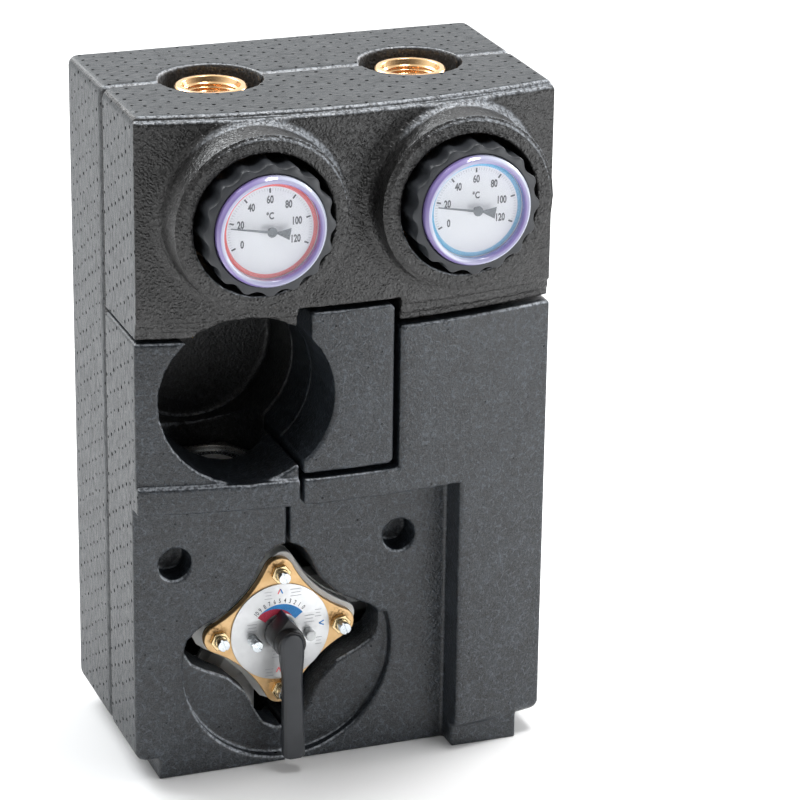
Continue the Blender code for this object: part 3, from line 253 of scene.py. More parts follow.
def pinholes(s, px, py, pz, on_side, on_top, on_front, pitch, hole, hole_share):
    """A skewed lattice of small holes on the sides and the top, and a few scattered on the front."""
    column, drop = 0.0074, 0.0041
    along = s.node("ShaderNodeMix", [(0, on_top), (2, py), (3, px)], data_type="FLOAT").outputs[0]
    across = s.node("ShaderNodeMix", [(0, on_top), (2, pz), (3, py)], data_type="FLOAT").outputs[0]
    index = s.maths("ROUND", s.maths("DIVIDE", along, column))
    off_along = s.maths("SUBTRACT", along, s.product(index, column))
    slid = s.total(across, s.product(index, drop))
    row = s.maths("ROUND", s.maths("DIVIDE", slid, pitch))
    off_across = s.maths("SUBTRACT", slid, s.product(row, pitch))
    chance = s.node("ShaderNodeTexWhiteNoise", [("Vector", s.vector(index, row, 0.5))])
    jitter = s.parts(chance.outputs["Color"])
    off_along = s.total(off_along, s.ramp(jitter[0], 0, 1, -0.0005, 0.0005))
    off_across = s.total(off_across, s.ramp(jitter[1], 0, 1, -0.0007, 0.0007))
    away = s.away(off_along, off_across)
    size = s.ramp(jitter[2], 0, 1, hole * 0.75, hole * 1.15)
    dots = s.ramp(s.maths("DIVIDE", away, size), 0.70, 1.20, 1.0, 0.0)
    dots = s.product(dots, s.maths("MAXIMUM", on_side, on_top))

    cell = 0.0088
    fx, fz = s.maths("DIVIDE", px, cell), s.maths("DIVIDE", pz, cell)
    spot = s.node("ShaderNodeTexVoronoi", [("Vector", s.vector(fx, 0.37, fz)), ("Scale", 1.0)],
                  feature="F1")
    pick = s.parts(spot.outputs["Color"])
    few = s.maths("GREATER_THAN", pick[0], 1.0 - 0.75 * hole_share)
    front = s.ramp(spot.outputs["Distance"], 0.045, 0.085, 1.0, 0.0)
    front = s.product(s.product(front, few), on_front)
    front = s.product(front, s.ramp(pick[1], 0, 1, 0.4, 1.0))
    return s.maths("MAXIMUM", dots, front)


def metal(name, colour, roughness, grain=0.10, scale=700.0, bump=0.00003, stretch=(1, 1, 1), tint=None):
    """Metal with fine marks in its gloss and a little variation in colour."""
    s = Shader(name)
    place = s.node("ShaderNodeVectorMath", [(0, s.point()), (1, stretch)], operation="MULTIPLY").outputs[0]
    fine = s.noise(place, scale, 3.0, 0.6)
    broad = s.noise(s.point(), 90.0, 2.0)
    other = tint or tuple(part * 0.78 for part in colour)
    s.set(Base_Color=s.mix(s.ramp(broad, 0.35, 0.7, 0.0, 0.5), colour, other), Metallic=1.0,
          Roughness=s.ramp(fine, 0.25, 0.75, roughness - grain, roughness + grain),
          Normal=s.bump(fine, bump, 0.5))
    return s.material


def plastic(name, colour, roughness, scale=1200.0, bump=0.00004, variation=0.12, coat=0.0):
    """Moulded plastic with a fine spark-eroded grain."""
    s = Shader(name)
    fine = s.noise(s.point(), scale, 2.0, 0.6)
    broad = s.noise(s.point(), 70.0, 2.0)
    low = tuple(part * (1 - variation) for part in colour)
    high = tuple(min(1.0, part * (1 + variation)) for part in colour)
    s.set(Base_Color=s.mix(s.ramp(broad, 0.3, 0.7), low, high),
          Roughness=s.ramp(fine, 0.25, 0.75, roughness - 0.05, roughness + 0.05),
          Normal=s.bump(fine, bump, 0.5), Coat_Weight=coat, Coat_Roughness=0.06)
    return s.material


def stained_brass(name):
    """Cast and faced brass, darkened by heat round the four screws."""
    s = Shader(name)
    place = s.point()
    px, _, pz = s.parts(place)
    near = None
    for quarter in range(4):
        angle = quarter * math.pi / 2
        cx = VALVE_X + SCREW_CIRCLE * math.cos(angle)
        cz = VALVE_Z + SCREW_CIRCLE * math.sin(angle) + 0.0035
        away = s.away(s.maths("SUBTRACT", px, cx - 0.0015), s.maths("SUBTRACT", pz, cz))
        near = away if near is None else s.maths("MINIMUM", near, away)
    soot = s.ramp(near, 0.0035, 0.0082, 1.0, 0.0)
    soot = s.product(soot, s.ramp(s.noise(place, 420.0, 4.0, 0.65), 0.40, 0.62))
    broad = s.noise(place, 120.0, 3.0)
    fine = s.noise(place, 1500.0, 2.0, 0.6)
    colour = s.mix(s.ramp(broad, 0.35, 0.7), (0.82, 0.56, 0.29), (0.72, 0.46, 0.21))
    colour = s.mix(soot, colour, (0.26, 0.14, 0.05))
    s.set(Base_Color=colour, Metallic=0.75, Roughness=s.ramp(fine, 0.25, 0.75, 0.36, 0.52),
          Normal=s.bump(fine, 0.00006, 0.6))
    return s.material


def tinted_ring(name, left, right):
    """Glossy pearl plastic with painted shade and reflection: one colour where it faces left, another where
    it faces right.
    """
    s = Shader(name)
    nx = s.parts(s.node("ShaderNodeNewGeometry").outputs["Normal"])[0]
    fine = s.noise(s.point(), 900.0, 2.0, 0.6)
    s.set(Base_Color=s.mix(s.ramp(nx, -0.45, 0.45), left, right), Coat_Weight=1.0, Coat_Roughness=0.06,
          Roughness=s.ramp(fine, 0.25, 0.75, 0.08, 0.16))
    return s.material


def printed(name, colour):
    """Printing ink."""
    s = Shader(name)
    worn = s.noise(s.point(), 2500.0, 2.0)
    lighter = tuple(min(1.0, part * 1.25 + 0.02) for part in colour)
    s.set(Base_Color=s.mix(s.ramp(worn, 0.4, 0.7), colour, lighter), Roughness=0.55)
    return s.material


def clear_pane(name):
    """A thin clear plastic window."""
    s = Shader(name)
    s.set(Base_Color=(0.95, 0.96, 1.0), Roughness=0.03, Alpha=0.05)
    s.material.surface_render_method = "BLENDED"
    return s.material


FOAM_UPPER = foam("foam_upper", (0.002, 0.002, 0.0019), (0.038, 0.037, 0.037), 0.0123, 0.00110, 1.0, 0.6)
FOAM_LOWER = foam("foam_lower", (0.003, 0.004, 0.006), (0.049, 0.060, 0.073), 0.0123, 0.00110, 0.35,
                  edge_sheen=1.0)
FOAM_BACK = foam("foam_back", (0.016, 0.017, 0.018), (0.070, 0.074, 0.078), 0.0105, 0.00095, 0.5)
BRASS = metal("brass", (0.90, 0.62, 0.33), 0.26, tint=(0.86, 0.50, 0.22))
TURNED_BRASS = metal("turned_brass", (0.92, 0.61, 0.32), 0.20, stretch=(1, 1, 12), tint=(0.92, 0.52, 0.24))
STAR_BRASS = stained_brass("star_brass")
GOLD_NUT = metal("gilded_steel", (0.90, 0.68, 0.38), 0.22)
ZINC = metal("zinc_plated", (0.74, 0.78, 0.80), 0.24, tint=(0.60, 0.66, 0.72))
STEEL = metal("drawn_steel", (0.34, 0.35, 0.36), 0.42, stretch=(1, 1, 0.1))
NICKEL = metal("nickel_plated", (0.82, 0.80, 0.76), 0.30, grain=0.05, stretch=(1, 1, 10))
CHROME = metal("chrome_ball", (0.80, 0.81, 0.83), 0.10, grain=0.03)
CASTING = plastic("painted_casting", (0.92, 0.92, 0.90), 0.42, 800.0, 0.00012, 0.05)
SLATE = plastic("slate_plastic", (0.030, 0.033, 0.038), 0.40)
BLACK = plastic("black_plastic", (0.012, 0.012, 0.013), 0.34)
RUBBER = plastic("seal_rubber", (0.015, 0.015, 0.015), 0.70)
WHITE = plastic("white_plastic", (0.80, 0.82, 0.82), 0.40)
DIAL_FACE = plastic("dial_white", (0.77, 0.79, 0.83), 0.42, variation=0.02)
# Painted shade and reflection: deeper lilac where the bezel faces left, paler blue-white where it faces
# right
LILAC = tinted_ring("bezel_lilac", (0.26, 0.20, 0.48), (0.56, 0.60, 0.72))
NEEDLE = plastic("needle_grey", (0.13, 0.15, 0.17), 0.45)
LABEL = metal("label_silver", (0.72, 0.73, 0.74), 0.42, grain=0.08, scale=500.0)
INK = printed("ink_grey", (0.06, 0.065, 0.08))
PALE_INK = printed("ink_pale", (0.36, 0.37, 0.40))
RED = printed("ink_red", (0.85, 0.16, 0.17))
DEEP_RED = printed("ink_deep_red", (0.50, 0.03, 0.07))
BLUE = printed("ink_blue", (0.02, 0.24, 0.62))
DIAL_RED = printed("ink_dial_red", (0.80, 0.20, 0.20))
DIAL_BLUE = printed("ink_dial_blue", (0.20, 0.50, 0.72))
PANE = clear_pane("clear_pane")


# --- modelling helpers ---

def stand(name, mesh, at=(0, 0, 0), turn=UPWARD, finish=None):
    """An object of this mesh, with its place written into the mesh."""
    obj = bpy.data.objects.new(name, mesh)
    bpy.context.scene.collection.objects.link(obj)
    mesh.transform(Matrix.Translation(Vector(at)) @ turned_by(turn))
    if finish is not None:
        mesh.materials.clear()
        mesh.materials.append(finish)
    return obj


def turned_by(angles):
    """The rotation of XYZ angles as a 4 by 4 matrix."""
    rx, ry, rz = (Matrix.Rotation(angle, 4, axis) for angle, axis in zip(angles, "XYZ"))
    return rz @ ry @ rx


def smooth(mesh, angle=35):
    """Smooth shading with sharp edges kept."""
    mesh.shade_smooth()
    mesh.set_sharp_from_angle(angle=math.radians(angle))


def bridge(bm, here, after):
    """Quads between two closed rings of the same length."""
    for k in range(len(here)):
        following = (k + 1) % len(here)
        bm.faces.new((here[k], here[following], after[following], after[k]))


def finished(bm, name):
    """The mesh of a bmesh, with its faces turned outwards."""
    bmesh.ops.recalc_face_normals(bm, faces=bm.faces)
    mesh = bpy.data.meshes.new(name)
    bm.to_mesh(mesh)
    bm.free()
    return mesh


def softened(points, radius, steps=4, closed=True):
    """Replace each corner of an outline by a short curve."""
    result = []
    count = len(points)
    for index, corner in enumerate(points):
        corner = Vector(corner)
        if not closed and index in (0, count - 1):
            result.append(tuple(corner))
            continue
        before, after = Vector(points[index - 1]), Vector(points[(index + 1) % count])
        reach_before = min(radius, (before - corner).length * 0.49)
        reach_after = min(radius, (after - corner).length * 0.49)
        start = corner + (before - corner).normalized() * reach_before
        end = corner + (after - corner).normalized() * reach_after
        for step in range(steps + 1):
            t = step / steps
            result.append(tuple(start * (1 - t) ** 2 + corner * 2 * t * (1 - t) + end * t * t))
    return result


def lathe(name, profile, at, turn=UPWARD, steps=96, finish=None, closed=True, sharp=35):
    """Turn a profile of (radius, height) about the local Z axis."""
    bm = bmesh.new()
    rings = []
    for radius, height in profile:
        if radius < 1e-7:
            rings.append([bm.verts.new((0, 0, height))])
            continue
        ring = []
        for step in range(steps):
            angle = 2 * math.pi * step / steps
            ring.append(bm.verts.new((radius * math.cos(angle), radius * math.sin(angle), height)))
        rings.append(ring)
    pairs = list(zip(rings, rings[1:]))
    if closed:
        pairs.append((rings[-1], rings[0]))
    for low, high in pairs:
        if len(low) == 1 and len(high) == 1:
            continue
        for step in range(steps):
            after = (step + 1) % steps
            below = [low[k % len(low)] for k in (step, after)]
            above = [high[k % len(high)] for k in (after, step)]
            bm.faces.new(dict.fromkeys(below + above))
    mesh = finished(bm, name)
    smooth(mesh, sharp)
    return stand(name, mesh, at, turn, finish)


def extruded(name, outlines, thickness, edge, at, turn=UPWARD, finish=None, edge_steps=2):
    """A flat piece with rounded edges; outlines after the first are holes."""
    curve = bpy.data.curves.new(name, "CURVE")
    curve.dimensions = "2D"
    curve.fill_mode = "BOTH"
    curve.extrude = thickness / 2 - edge
    curve.bevel_depth = edge
    curve.bevel_resolution = edge_steps
    curve.offset = -edge
    for outline in outlines:
        spline = curve.splines.new("POLY")
        spline.points.add(len(outline) - 1)
        for point, (x, y) in zip(spline.points, outline):
            point.co = (x, y, 0, 1)
        spline.use_cyclic_u = True
    drawn = bpy.data.objects.new(name + "_outline", curve)
    bpy.context.scene.collection.objects.link(drawn)
    bpy.context.view_layer.update()
    mesh = bpy.data.meshes.new_from_object(drawn.evaluated_get(bpy.context.evaluated_depsgraph_get()))
    bpy.data.objects.remove(drawn, do_unlink=True)
    mesh.name = name
    bm = bmesh.new()
    bm.from_mesh(mesh)
    bmesh.ops.remove_doubles(bm, verts=bm.verts, dist=0.00001)
    bmesh.ops.translate(bm, vec=(0, 0, thickness / 2), verts=bm.verts)
    bmesh.ops.recalc_face_normals(bm, faces=bm.faces)
    bm.to_mesh(mesh)
    bm.free()
    smooth(mesh, 50)
    return stand(name, mesh, at, turn, finish)


def lettered(text, size, at, finish, spin=0.0, narrow=0.82, weight=0.0):
    """A short flat text centred on a point."""
    curve = bpy.data.curves.new("text", "FONT")
    curve.body = text
    curve.size = size
    curve.align_x = "CENTER"
    curve.align_y = "CENTER"
    curve.resolution_u = 3
    curve.offset = weight
    drawn = bpy.data.objects.new("text", curve)
    bpy.context.scene.collection.objects.link(drawn)
    bpy.context.view_layer.update()
    mesh = bpy.data.meshes.new_from_object(drawn.evaluated_get(bpy.context.evaluated_depsgraph_get()))
    bpy.data.objects.remove(drawn, do_unlink=True)
    mesh.transform(Matrix.Rotation(spin, 4, "Z") @ Matrix.Diagonal((narrow, 1, 1, 1)))
    return stand("text", mesh, at, FRONTWARD, finish)


def flat_shapes(name, outlines, at, finish):
    """Flat convex polygons in one mesh."""
    mesh = bpy.data.meshes.new(name)
    points, faces = [], []
    for outline in outlines:
        faces.append(tuple(range(len(points), len(points) + len(outline))))
        points += [(x, y, 0) for x, y in outline]
    mesh.from_pydata(points, [], faces)
    return stand(name, mesh, at, FRONTWARD, finish)


def merged(name, pieces):
    """One object made of several, each keeping its material."""
    materials, bm = [], bmesh.new()
    for piece in pieces:
        finish = piece.data.materials[0]
        if finish not in materials:
            materials.append(finish)
        for face in piece.data.polygons:
            face.material_index = materials.index(finish)
        bm.from_mesh(piece.data)
        bpy.data.objects.remove(piece, do_unlink=True)
    mesh = bpy.data.meshes.new(name)
    bm.to_mesh(mesh)
    bm.free()
    for finish in materials:
        mesh.materials.append(finish)
    obj = bpy.data.objects.new(name, mesh)
    bpy.context.scene.collection.objects.link(obj)
    return obj


def circle(radius, count=64, centre=(0, 0), start=0.0):
    """Points of a circle."""
    angles = [start + 2 * math.pi * i / count for i in range(count)]
    return [(centre[0] + radius * math.cos(a), centre[1] + radius * math.sin(a)) for a in angles]


def arc(centre, radius, start, end, count):
    """Points of an arc, both ends included."""
    angles = [start + (end - start) * i / count for i in range(count + 1)]
    return [(centre[0] + radius * math.cos(a), centre[1] + radius * math.sin(a)) for a in angles]


def band(radius_in, radius_out, start, end, count=24):
    """Quads of a ring sector between two angles."""
    inner = arc((0, 0), radius_in, start, end, count)
    outer = arc((0, 0), radius_out, start, end, count)
    return [(inner[i], outer[i], outer[i + 1], inner[i + 1]) for i in range(count)]


def bar(start, end, width):
    """A thin rectangle between two points."""
    start, end = Vector(start), Vector(end)
    side = (end - start).normalized().orthogonal() * width / 2
    return [tuple(start + side), tuple(start - side), tuple(end - side), tuple(end + side)]


def lobed(lobe_centre, lobe_radius, valley, lobe_points=20, valley_points=16):
    """Four round lobes joined by hollow arcs that touch them."""
    c, r, v = lobe_centre, lobe_radius, valley
    hollow = (c * c + v * v - math.sqrt(2) * c * v - r * r) / (2 * r - 2 * v + math.sqrt(2) * c)
    middle = v + hollow
    lean = math.atan2(middle * math.sin(math.pi / 4), middle * math.cos(math.pi / 4) - c)
    points = []
    for quarter in range(4):
        turn = quarter * math.pi / 2
        centre = (c * math.cos(turn), c * math.sin(turn))
        points += arc(centre, r, turn - lean, turn + lean, lobe_points)
        bowl = (middle * math.cos(turn + math.pi / 4), middle * math.sin(turn + math.pi / 4))
        points += arc(bowl, hollow, turn + lean + math.pi, turn + 1.5 * math.pi - lean,
                      valley_points)[1:-1]
    return points


def dress(piece, body, slot, *nodes):
    """Let a piece ride on a body and stand for CAD nodes; the slot is not used."""
    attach(piece, body)
    if nodes:
        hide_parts(*nodes)
    return piece


def repaint(finish, *names):
    """Give CAD nodes a better material."""
    for name in names:
        data = NODES[name].data
        for index in range(len(data.materials)):
            data.materials[index] = finish
        if not data.materials:
            data.materials.append(finish)


# --- foam housing ---

def arc_front_y(x):
    """Depth of the bowed front face."""
    return CREST_Y + ARC_RADIUS - math.sqrt(ARC_RADIUS ** 2 - x ** 2)


def collar_skirts():
    """Rounded fillets between the front face and the two collars, as closed rings."""
    made = []
    fillet = 0.0062
    steps, count = 96, 7
    for side in (-1, 1):
        bm = bmesh.new()
        rings = []
        for step in range(steps):
            angle = 2 * math.pi * step / steps
            cosine, sine = math.cos(angle), math.sin(angle)
            section = []
            for k in range(count + 1):
                t = math.pi / 2 * k / count
                section.append((COLLAR_RADIUS + fillet * (1 - math.sin(t)), fillet * (1 - math.cos(t))))
            section += [(COLLAR_RADIUS - 0.003, fillet), (COLLAR_RADIUS - 0.003, -0.004),
                        (COLLAR_RADIUS + fillet, -0.004)]
            ring = []
            for radius, rise in section:
                x = side * LINE_X + radius * cosine
                z = min(DIAL_Z + radius * sine, TOP_Z - 0.0022)
                x = max(-HALF_WIDTH + 0.003, min(HALF_WIDTH - 0.003, x))
                ring.append(bm.verts.new((x, arc_front_y(x) - rise, z)))
            rings.append(ring)
        for step in range(steps):
            bridge(bm, rings[step], rings[(step + 1) % steps])
        made.append(finished(bm, "skirt"))
    return made


def moulded(node, body, finish, voxel, rounds, extra=(), limit=150000, shape=None, swell=0.0):
    """A copy of a CAD shell with soft moulded edges, which replaces it."""
    bm = bmesh.new()
    bm.from_mesh(NODES[node].data)
    for mesh in extra:
        bm.from_mesh(mesh)
    bmesh.ops.remove_doubles(bm, verts=bm.verts, dist=0.000005)
    mesh = bpy.data.meshes.new(node + "_moulded")
    bm.to_mesh(mesh)
    bm.free()
    obj = stand(node + "_moulded", mesh, finish=finish)
    remesh = obj.modifiers.new("remesh", "REMESH")
    remesh.mode = "VOXEL"
    remesh.voxel_size = voxel
    relax = obj.modifiers.new("relax", "SMOOTH")
    relax.factor = 0.5
    relax.iterations = rounds
    if swell:
        grow = obj.modifiers.new("grow", "DISPLACE")
        grow.mid_level = 0.0
        grow.strength = swell
    bake_modifiers(obj)
    if shape is not None:
        shape(obj.data)
    for vertex in obj.data.vertices:
        vertex.co.z = max(0.0, vertex.co.z)
    triangles = 2 * len(obj.data.polygons)
    if triangles > limit:
        thin = obj.modifiers.new("thin", "DECIMATE")
        thin.ratio = limit / triangles
        bake_modifiers(obj)
    obj.data.materials.clear()
    obj.data.materials.append(finish)
    obj.data.shade_smooth()
    return dress(obj, body, "foam", node)


def bake_modifiers(obj):
    """Replace an object's mesh by its modified form."""
    bpy.context.view_layer.update()
    evaluated = obj.evaluated_get(bpy.context.evaluated_depsgraph_get())
    mesh = bpy.data.meshes.new_from_object(evaluated)
    obj.modifiers.clear()
    obj.data = mesh


def collar_steps(mesh):
    """Let the outer rim of each collar stand a step lower than its front ring."""
    lip, ramp, drop = 0.0484, 0.0008, 0.0017
    for vertex in mesh.vertices:
        x, y, z = vertex.co
        if y > COLLAR_Y + 0.004:
            continue
        for side in (-1, 1):
            away = math.hypot(x - side * LINE_X, z - DIAL_Z)
            if away < COLLAR_RADIUS + 0.004:
                share = min(1.0, max(0.0, (away - lip) / ramp))
                share = share * share * (3 - 2 * share)
                lowest = COLLAR_Y + 0.0002 + share * drop
                vertex.co.y = max(y, lowest)


def upper_form(mesh):
    """Round the long top edge at the front and cut the collar steps."""
    reach = 0.0055
    for vertex in mesh.vertices:
        x, y, z = vertex.co
        down = reach - (TOP_Z - z)
        back = reach - (y - arc_front_y(x))
        if 0 < down and 0 < back < reach + 0.0004:
            shrink = max(down, back) / math.hypot(down, back)
            vertex.co.z = TOP_Z - reach + down * shrink
            vertex.co.y = arc_front_y(x) + reach - back * shrink
    collar_steps(mesh)


def insert_form(mesh):
    """Round the two right corners of the insert."""
    reach = 0.0035
    right = max(vertex.co.x for vertex in mesh.vertices)
    low = min(vertex.co.z for vertex in mesh.vertices)
    high = max(vertex.co.z for vertex in mesh.vertices)
    for vertex in mesh.vertices:
        x, _, z = vertex.co
        out = reach - (right - x)
        for end, sign in ((low, -1), (high, 1)):
            along = reach - sign * (end - z)
            if out > 0 and along > 0:
                shrink = max(out, along) / math.hypot(out, along)
                vertex.co.x = right - reach + out * shrink
                vertex.co.z = end - sign * (reach - along * shrink)


def make_housing():
    """The five foam shells."""
    coarse = 1.0
    moulded("upper_front_shell", "upper_front", FOAM_UPPER, 0.0010 * coarse, 4, collar_skirts(),
            190000, upper_form)
    moulded("lower_front_shell_left", "lower_left", FOAM_LOWER, 0.0010 * coarse, 7, swell=0.0005)
    moulded("lower_front_shell_right", "lower_right", FOAM_LOWER, 0.0010 * coarse, 7,
            limit=190000, swell=0.0005)
    moulded("pump_bay_insert", "insert", FOAM_LOWER, 0.0009 * coarse, 7, limit=60000,
            shape=insert_form, swell=0.0005)
    moulded("back_shell", "housing_back", FOAM_BACK, 0.0014 * coarse, 4, limit=170000)


# --- handwheels and thermometers ---

WHEEL_RADIUS = 0.0378
WHEEL_VALLEY_RADIUS = 0.0352
WHEEL_FRONT_Y = -0.0886
WHEEL_DEPTH = 0.0346
WHEEL_NOTCHES = 16
SOCKET_RADIUS = 0.0322
WHEEL_WEB_Y = -0.0700
DIAL_FACE_Y = -0.0872
BEZEL_FRONT_Y = -0.093
BEZEL_BACK_Y = -0.0863


def wheel_radius(angle):
    """Radius of the scalloped wheel: hollows cut by a small circle, lands between them."""
    scoop = 0.0080
    reach = WHEEL_VALLEY_RADIUS + scoop
    pitch = 2 * math.pi / WHEEL_NOTCHES
    off = (angle - math.pi / 2 + pitch / 2) % pitch - pitch / 2
    off = pitch / 2 - abs(off)
    inside = scoop ** 2 - (reach * math.sin(off)) ** 2
    if inside <= 0:
        return WHEEL_RADIUS
    return min(WHEEL_RADIUS, reach * math.cos(off) - math.sqrt(inside))


def make_wheel(label, x):
    """The scalloped handwheel with its raised triangle."""
    steps = WHEEL_NOTCHES * 14
    radii = [wheel_radius(2 * math.pi * i / steps) for i in range(steps)]
    blurred = [(radii[i - 1] + 2 * radii[i] + radii[(i + 1) % steps]) / 4 for i in range(steps)]
    front = 0.0
    levels = [(-WHEEL_DEPTH, -0.0010), (-WHEEL_DEPTH + 0.0012, 0.0), (front - 0.0006, 0.0),
              (front - 0.0002, -0.0002), (front, -0.0006)]
    bm = bmesh.new()
    rings = []
    for height, inset in levels:
        ring = []
        for i, radius in enumerate(blurred):
            angle = 2 * math.pi * i / steps
            reach = radius + inset
            ring.append(bm.verts.new((reach * math.cos(angle), reach * math.sin(angle), height)))
        rings.append(ring)
    inner = [(SOCKET_RADIUS + 0.0004, front), (SOCKET_RADIUS, front - 0.0004),
             (SOCKET_RADIUS, WHEEL_FRONT_Y - WHEEL_WEB_Y), (0.0054, WHEEL_FRONT_Y - WHEEL_WEB_Y),
             (0.0054, -WHEEL_DEPTH), (0.0100, -WHEEL_DEPTH),
             (0.0100, WHEEL_FRONT_Y - WHEEL_WEB_Y - 0.006), (0.0333, WHEEL_FRONT_Y - WHEEL_WEB_Y - 0.006),
             (0.0333, -WHEEL_DEPTH)]
    for radius, height in inner:
        ring = []
        for i in range(steps):
            angle = 2 * math.pi * i / steps
            ring.append(bm.verts.new((radius * math.cos(angle), radius * math.sin(angle), height)))
        rings.append(ring)
    for here, after in zip(rings, rings[1:] + rings[:1]):
        bridge(bm, here, after)
    mesh = finished(bm, "wheel")
    smooth(mesh, 40)
    wheel = stand("wheel", mesh, (x, WHEEL_FRONT_Y, DIAL_Z), FRONTWARD, SLATE)
    corners = [(0.0, 0.0362), (-0.0015, 0.0333), (0.0015, 0.0333)]
    strokes = [bar(corners[i], corners[(i + 1) % 3], 0.0003) for i in range(3)]
    mark = flat_shapes("mark", strokes, (x, WHEEL_FRONT_Y - 0.00004, DIAL_Z), BLACK)
    return dress(merged(label + "_wheel", [wheel, mark]), label + "_handle", "dark_plastic",
                 label + "_handwheel")


def make_bezel(label, x):
    """The glossy ring that holds the window."""
    front = -BEZEL_FRONT_Y
    seat = -BEZEL_BACK_Y
    profile = [
        (0.0275, front - 0.0012), (0.0280, front - 0.0003), (0.0302, front), (0.0317, front - 0.0022),
        (0.0318, seat), (0.0291, seat), (0.0291, seat + 0.0008), (0.0276, seat + 0.0010)]
    bezel = lathe(label + "_bezel_ring", softened(profile, 0.0006), (x, 0, DIAL_Z), FRONTWARD, 128, LILAC)
    return dress(bezel, label + "_handle", "bezel", label + "_bezel")


def dial_angle(value):
    """Angle of a temperature on the dial, in radians, counted from the right."""
    return math.radians(90 - (value - 60) * 37.7 / 20)


def make_dial_print(label, x, ring_finish):
    """Numbers, ticks and the coloured ring on the dial."""
    face = DIAL_FACE_Y - 0.00006
    at = (x, face, DIAL_Z)
    pieces = []
    fine = []
    for value in range(0, 122, 2):
        angle = dial_angle(value)
        if value % 20:
            along = Vector((math.cos(angle), math.sin(angle)))
            fine.append(bar(along * 0.0226, along * 0.0242, 0.00020))
    pieces.append(flat_shapes("fine", fine, at, PALE_INK))
    major = []
    for value in range(0, 121, 20):
        angle = dial_angle(value)
        along = Vector((math.cos(angle), math.sin(angle)))
        major.append(bar(along * 0.0214, along * 0.0240, 0.0010))
        spot = along * (0.0174 if value < 100 else 0.0158)
        pieces.append(lettered(str(value), 0.0060, (x + spot.x, face, DIAL_Z + spot.y), INK,
                               narrow=0.66, weight=0.00022))
    pieces.append(flat_shapes("major", major, at, INK))
    pieces.append(lettered("°C", 0.0054, (x, face, DIAL_Z + 0.0080), INK, narrow=0.74, weight=0.00018))
    pieces.append(flat_shapes("ring", band(0.0250, 0.0274, 0, 2 * math.pi, 96), at, ring_finish))
    return dress(merged(label + "_dial_print", pieces), label + "_handle", "dial_white")


def make_isolating_valve(label, side, ring_finish):
    """The visible parts of one ball valve."""
    x = side * LINE_X
    make_wheel(label, x)
    make_bezel(label, x)
    make_dial_print(label, x, ring_finish)
    make_port(label, x)


def make_port(label, x):
    """The threaded brass socket at the top of a line."""
    top = 0.4045
    profile = [(0.0195, top), (0.02075, top - 0.0012), (0.02075, 0.385), (0.0250, 0.385), (0.0250, 0.3774),
               (0.0200, 0.3774), (0.0200, 0.3721), (0.0130, 0.3721), (0.0130, 0.385)]
    groove, crest, pitch = 0.0158, 0.01475, 0.0023
    height = 0.3875
    while height + pitch < top - 0.0015:
        profile += [(groove, height), (groove, height + 0.0002), (crest, height + pitch / 2),
                    (crest, height + pitch / 2 + 0.0002)]
        height += pitch
    profile += [(groove, height), (0.0168, top - 0.0004), (0.0173, top)]
    port = lathe(label + "_port", softened(profile, 0.0003, 2), (x, LINE_Y, 0), UPWARD, 96, TURNED_BRASS)
    return dress(port, "housing_back", "brass", label + "_valve_socket")


# --- mixing valve ---

def make_casting():
    """The painted mixer body: its CAD form behind the flange, and a finely drawn flange."""
    source = NODES["mixer_body"].data
    bm = bmesh.new()
    bm.from_mesh(source)
    cut = bmesh.ops.bisect_plane(bm, geom=bm.verts[:] + bm.edges[:] + bm.faces[:], dist=0.000001,
                                 plane_co=(0, FLANGE_Y + 0.0079, 0), plane_no=(0, -1, 0), clear_outer=True)
    edges = [item for item in cut["geom_cut"] if isinstance(item, bmesh.types.BMEdge)]
    bmesh.ops.holes_fill(bm, edges=edges)
    mesh = bpy.data.meshes.new("casting")
    bm.to_mesh(mesh)
    bm.free()
    smooth(mesh)
    rear = stand("casting", mesh, finish=CASTING)
    flange = extruded("flange", [lobed(SCREW_CIRCLE, 0.0078, 0.0298), circle(0.0245)], 0.0095, 0.0006,
                      (VALVE_X + 0.0032, FLANGE_Y + 0.008, VALVE_Z + 0.0030), FRONTWARD, CASTING)
    return dress(merged("mixer_casting", [rear, flange]), "housing_back", "painted_casting", "mixer_body")


def make_cover():
    """The four-lobed brass cover, its gasket and the printed scale disc."""
    gasket = extruded("gasket", [lobed(SCREW_CIRCLE, 0.0085, 0.0305), circle(0.022)], 0.0007, 0.0001,
                      (VALVE_X, FLANGE_Y - 0.0003, VALVE_Z), FRONTWARD, RUBBER, 1)
    dress(gasket, "housing_back", "seal_rubber", "mixer_gasket")
    cover = extruded("star_cover", [lobed(SCREW_CIRCLE, 0.0090, 0.0310), circle(0.0084)], 0.005, 0.0008,
                     (VALVE_X, COVER_Y + 0.005, VALVE_Z), FRONTWARD, STAR_BRASS, 3)
    dress(cover, "housing_back", "brass", "mixer_cover_plate")
    make_scale_disc()


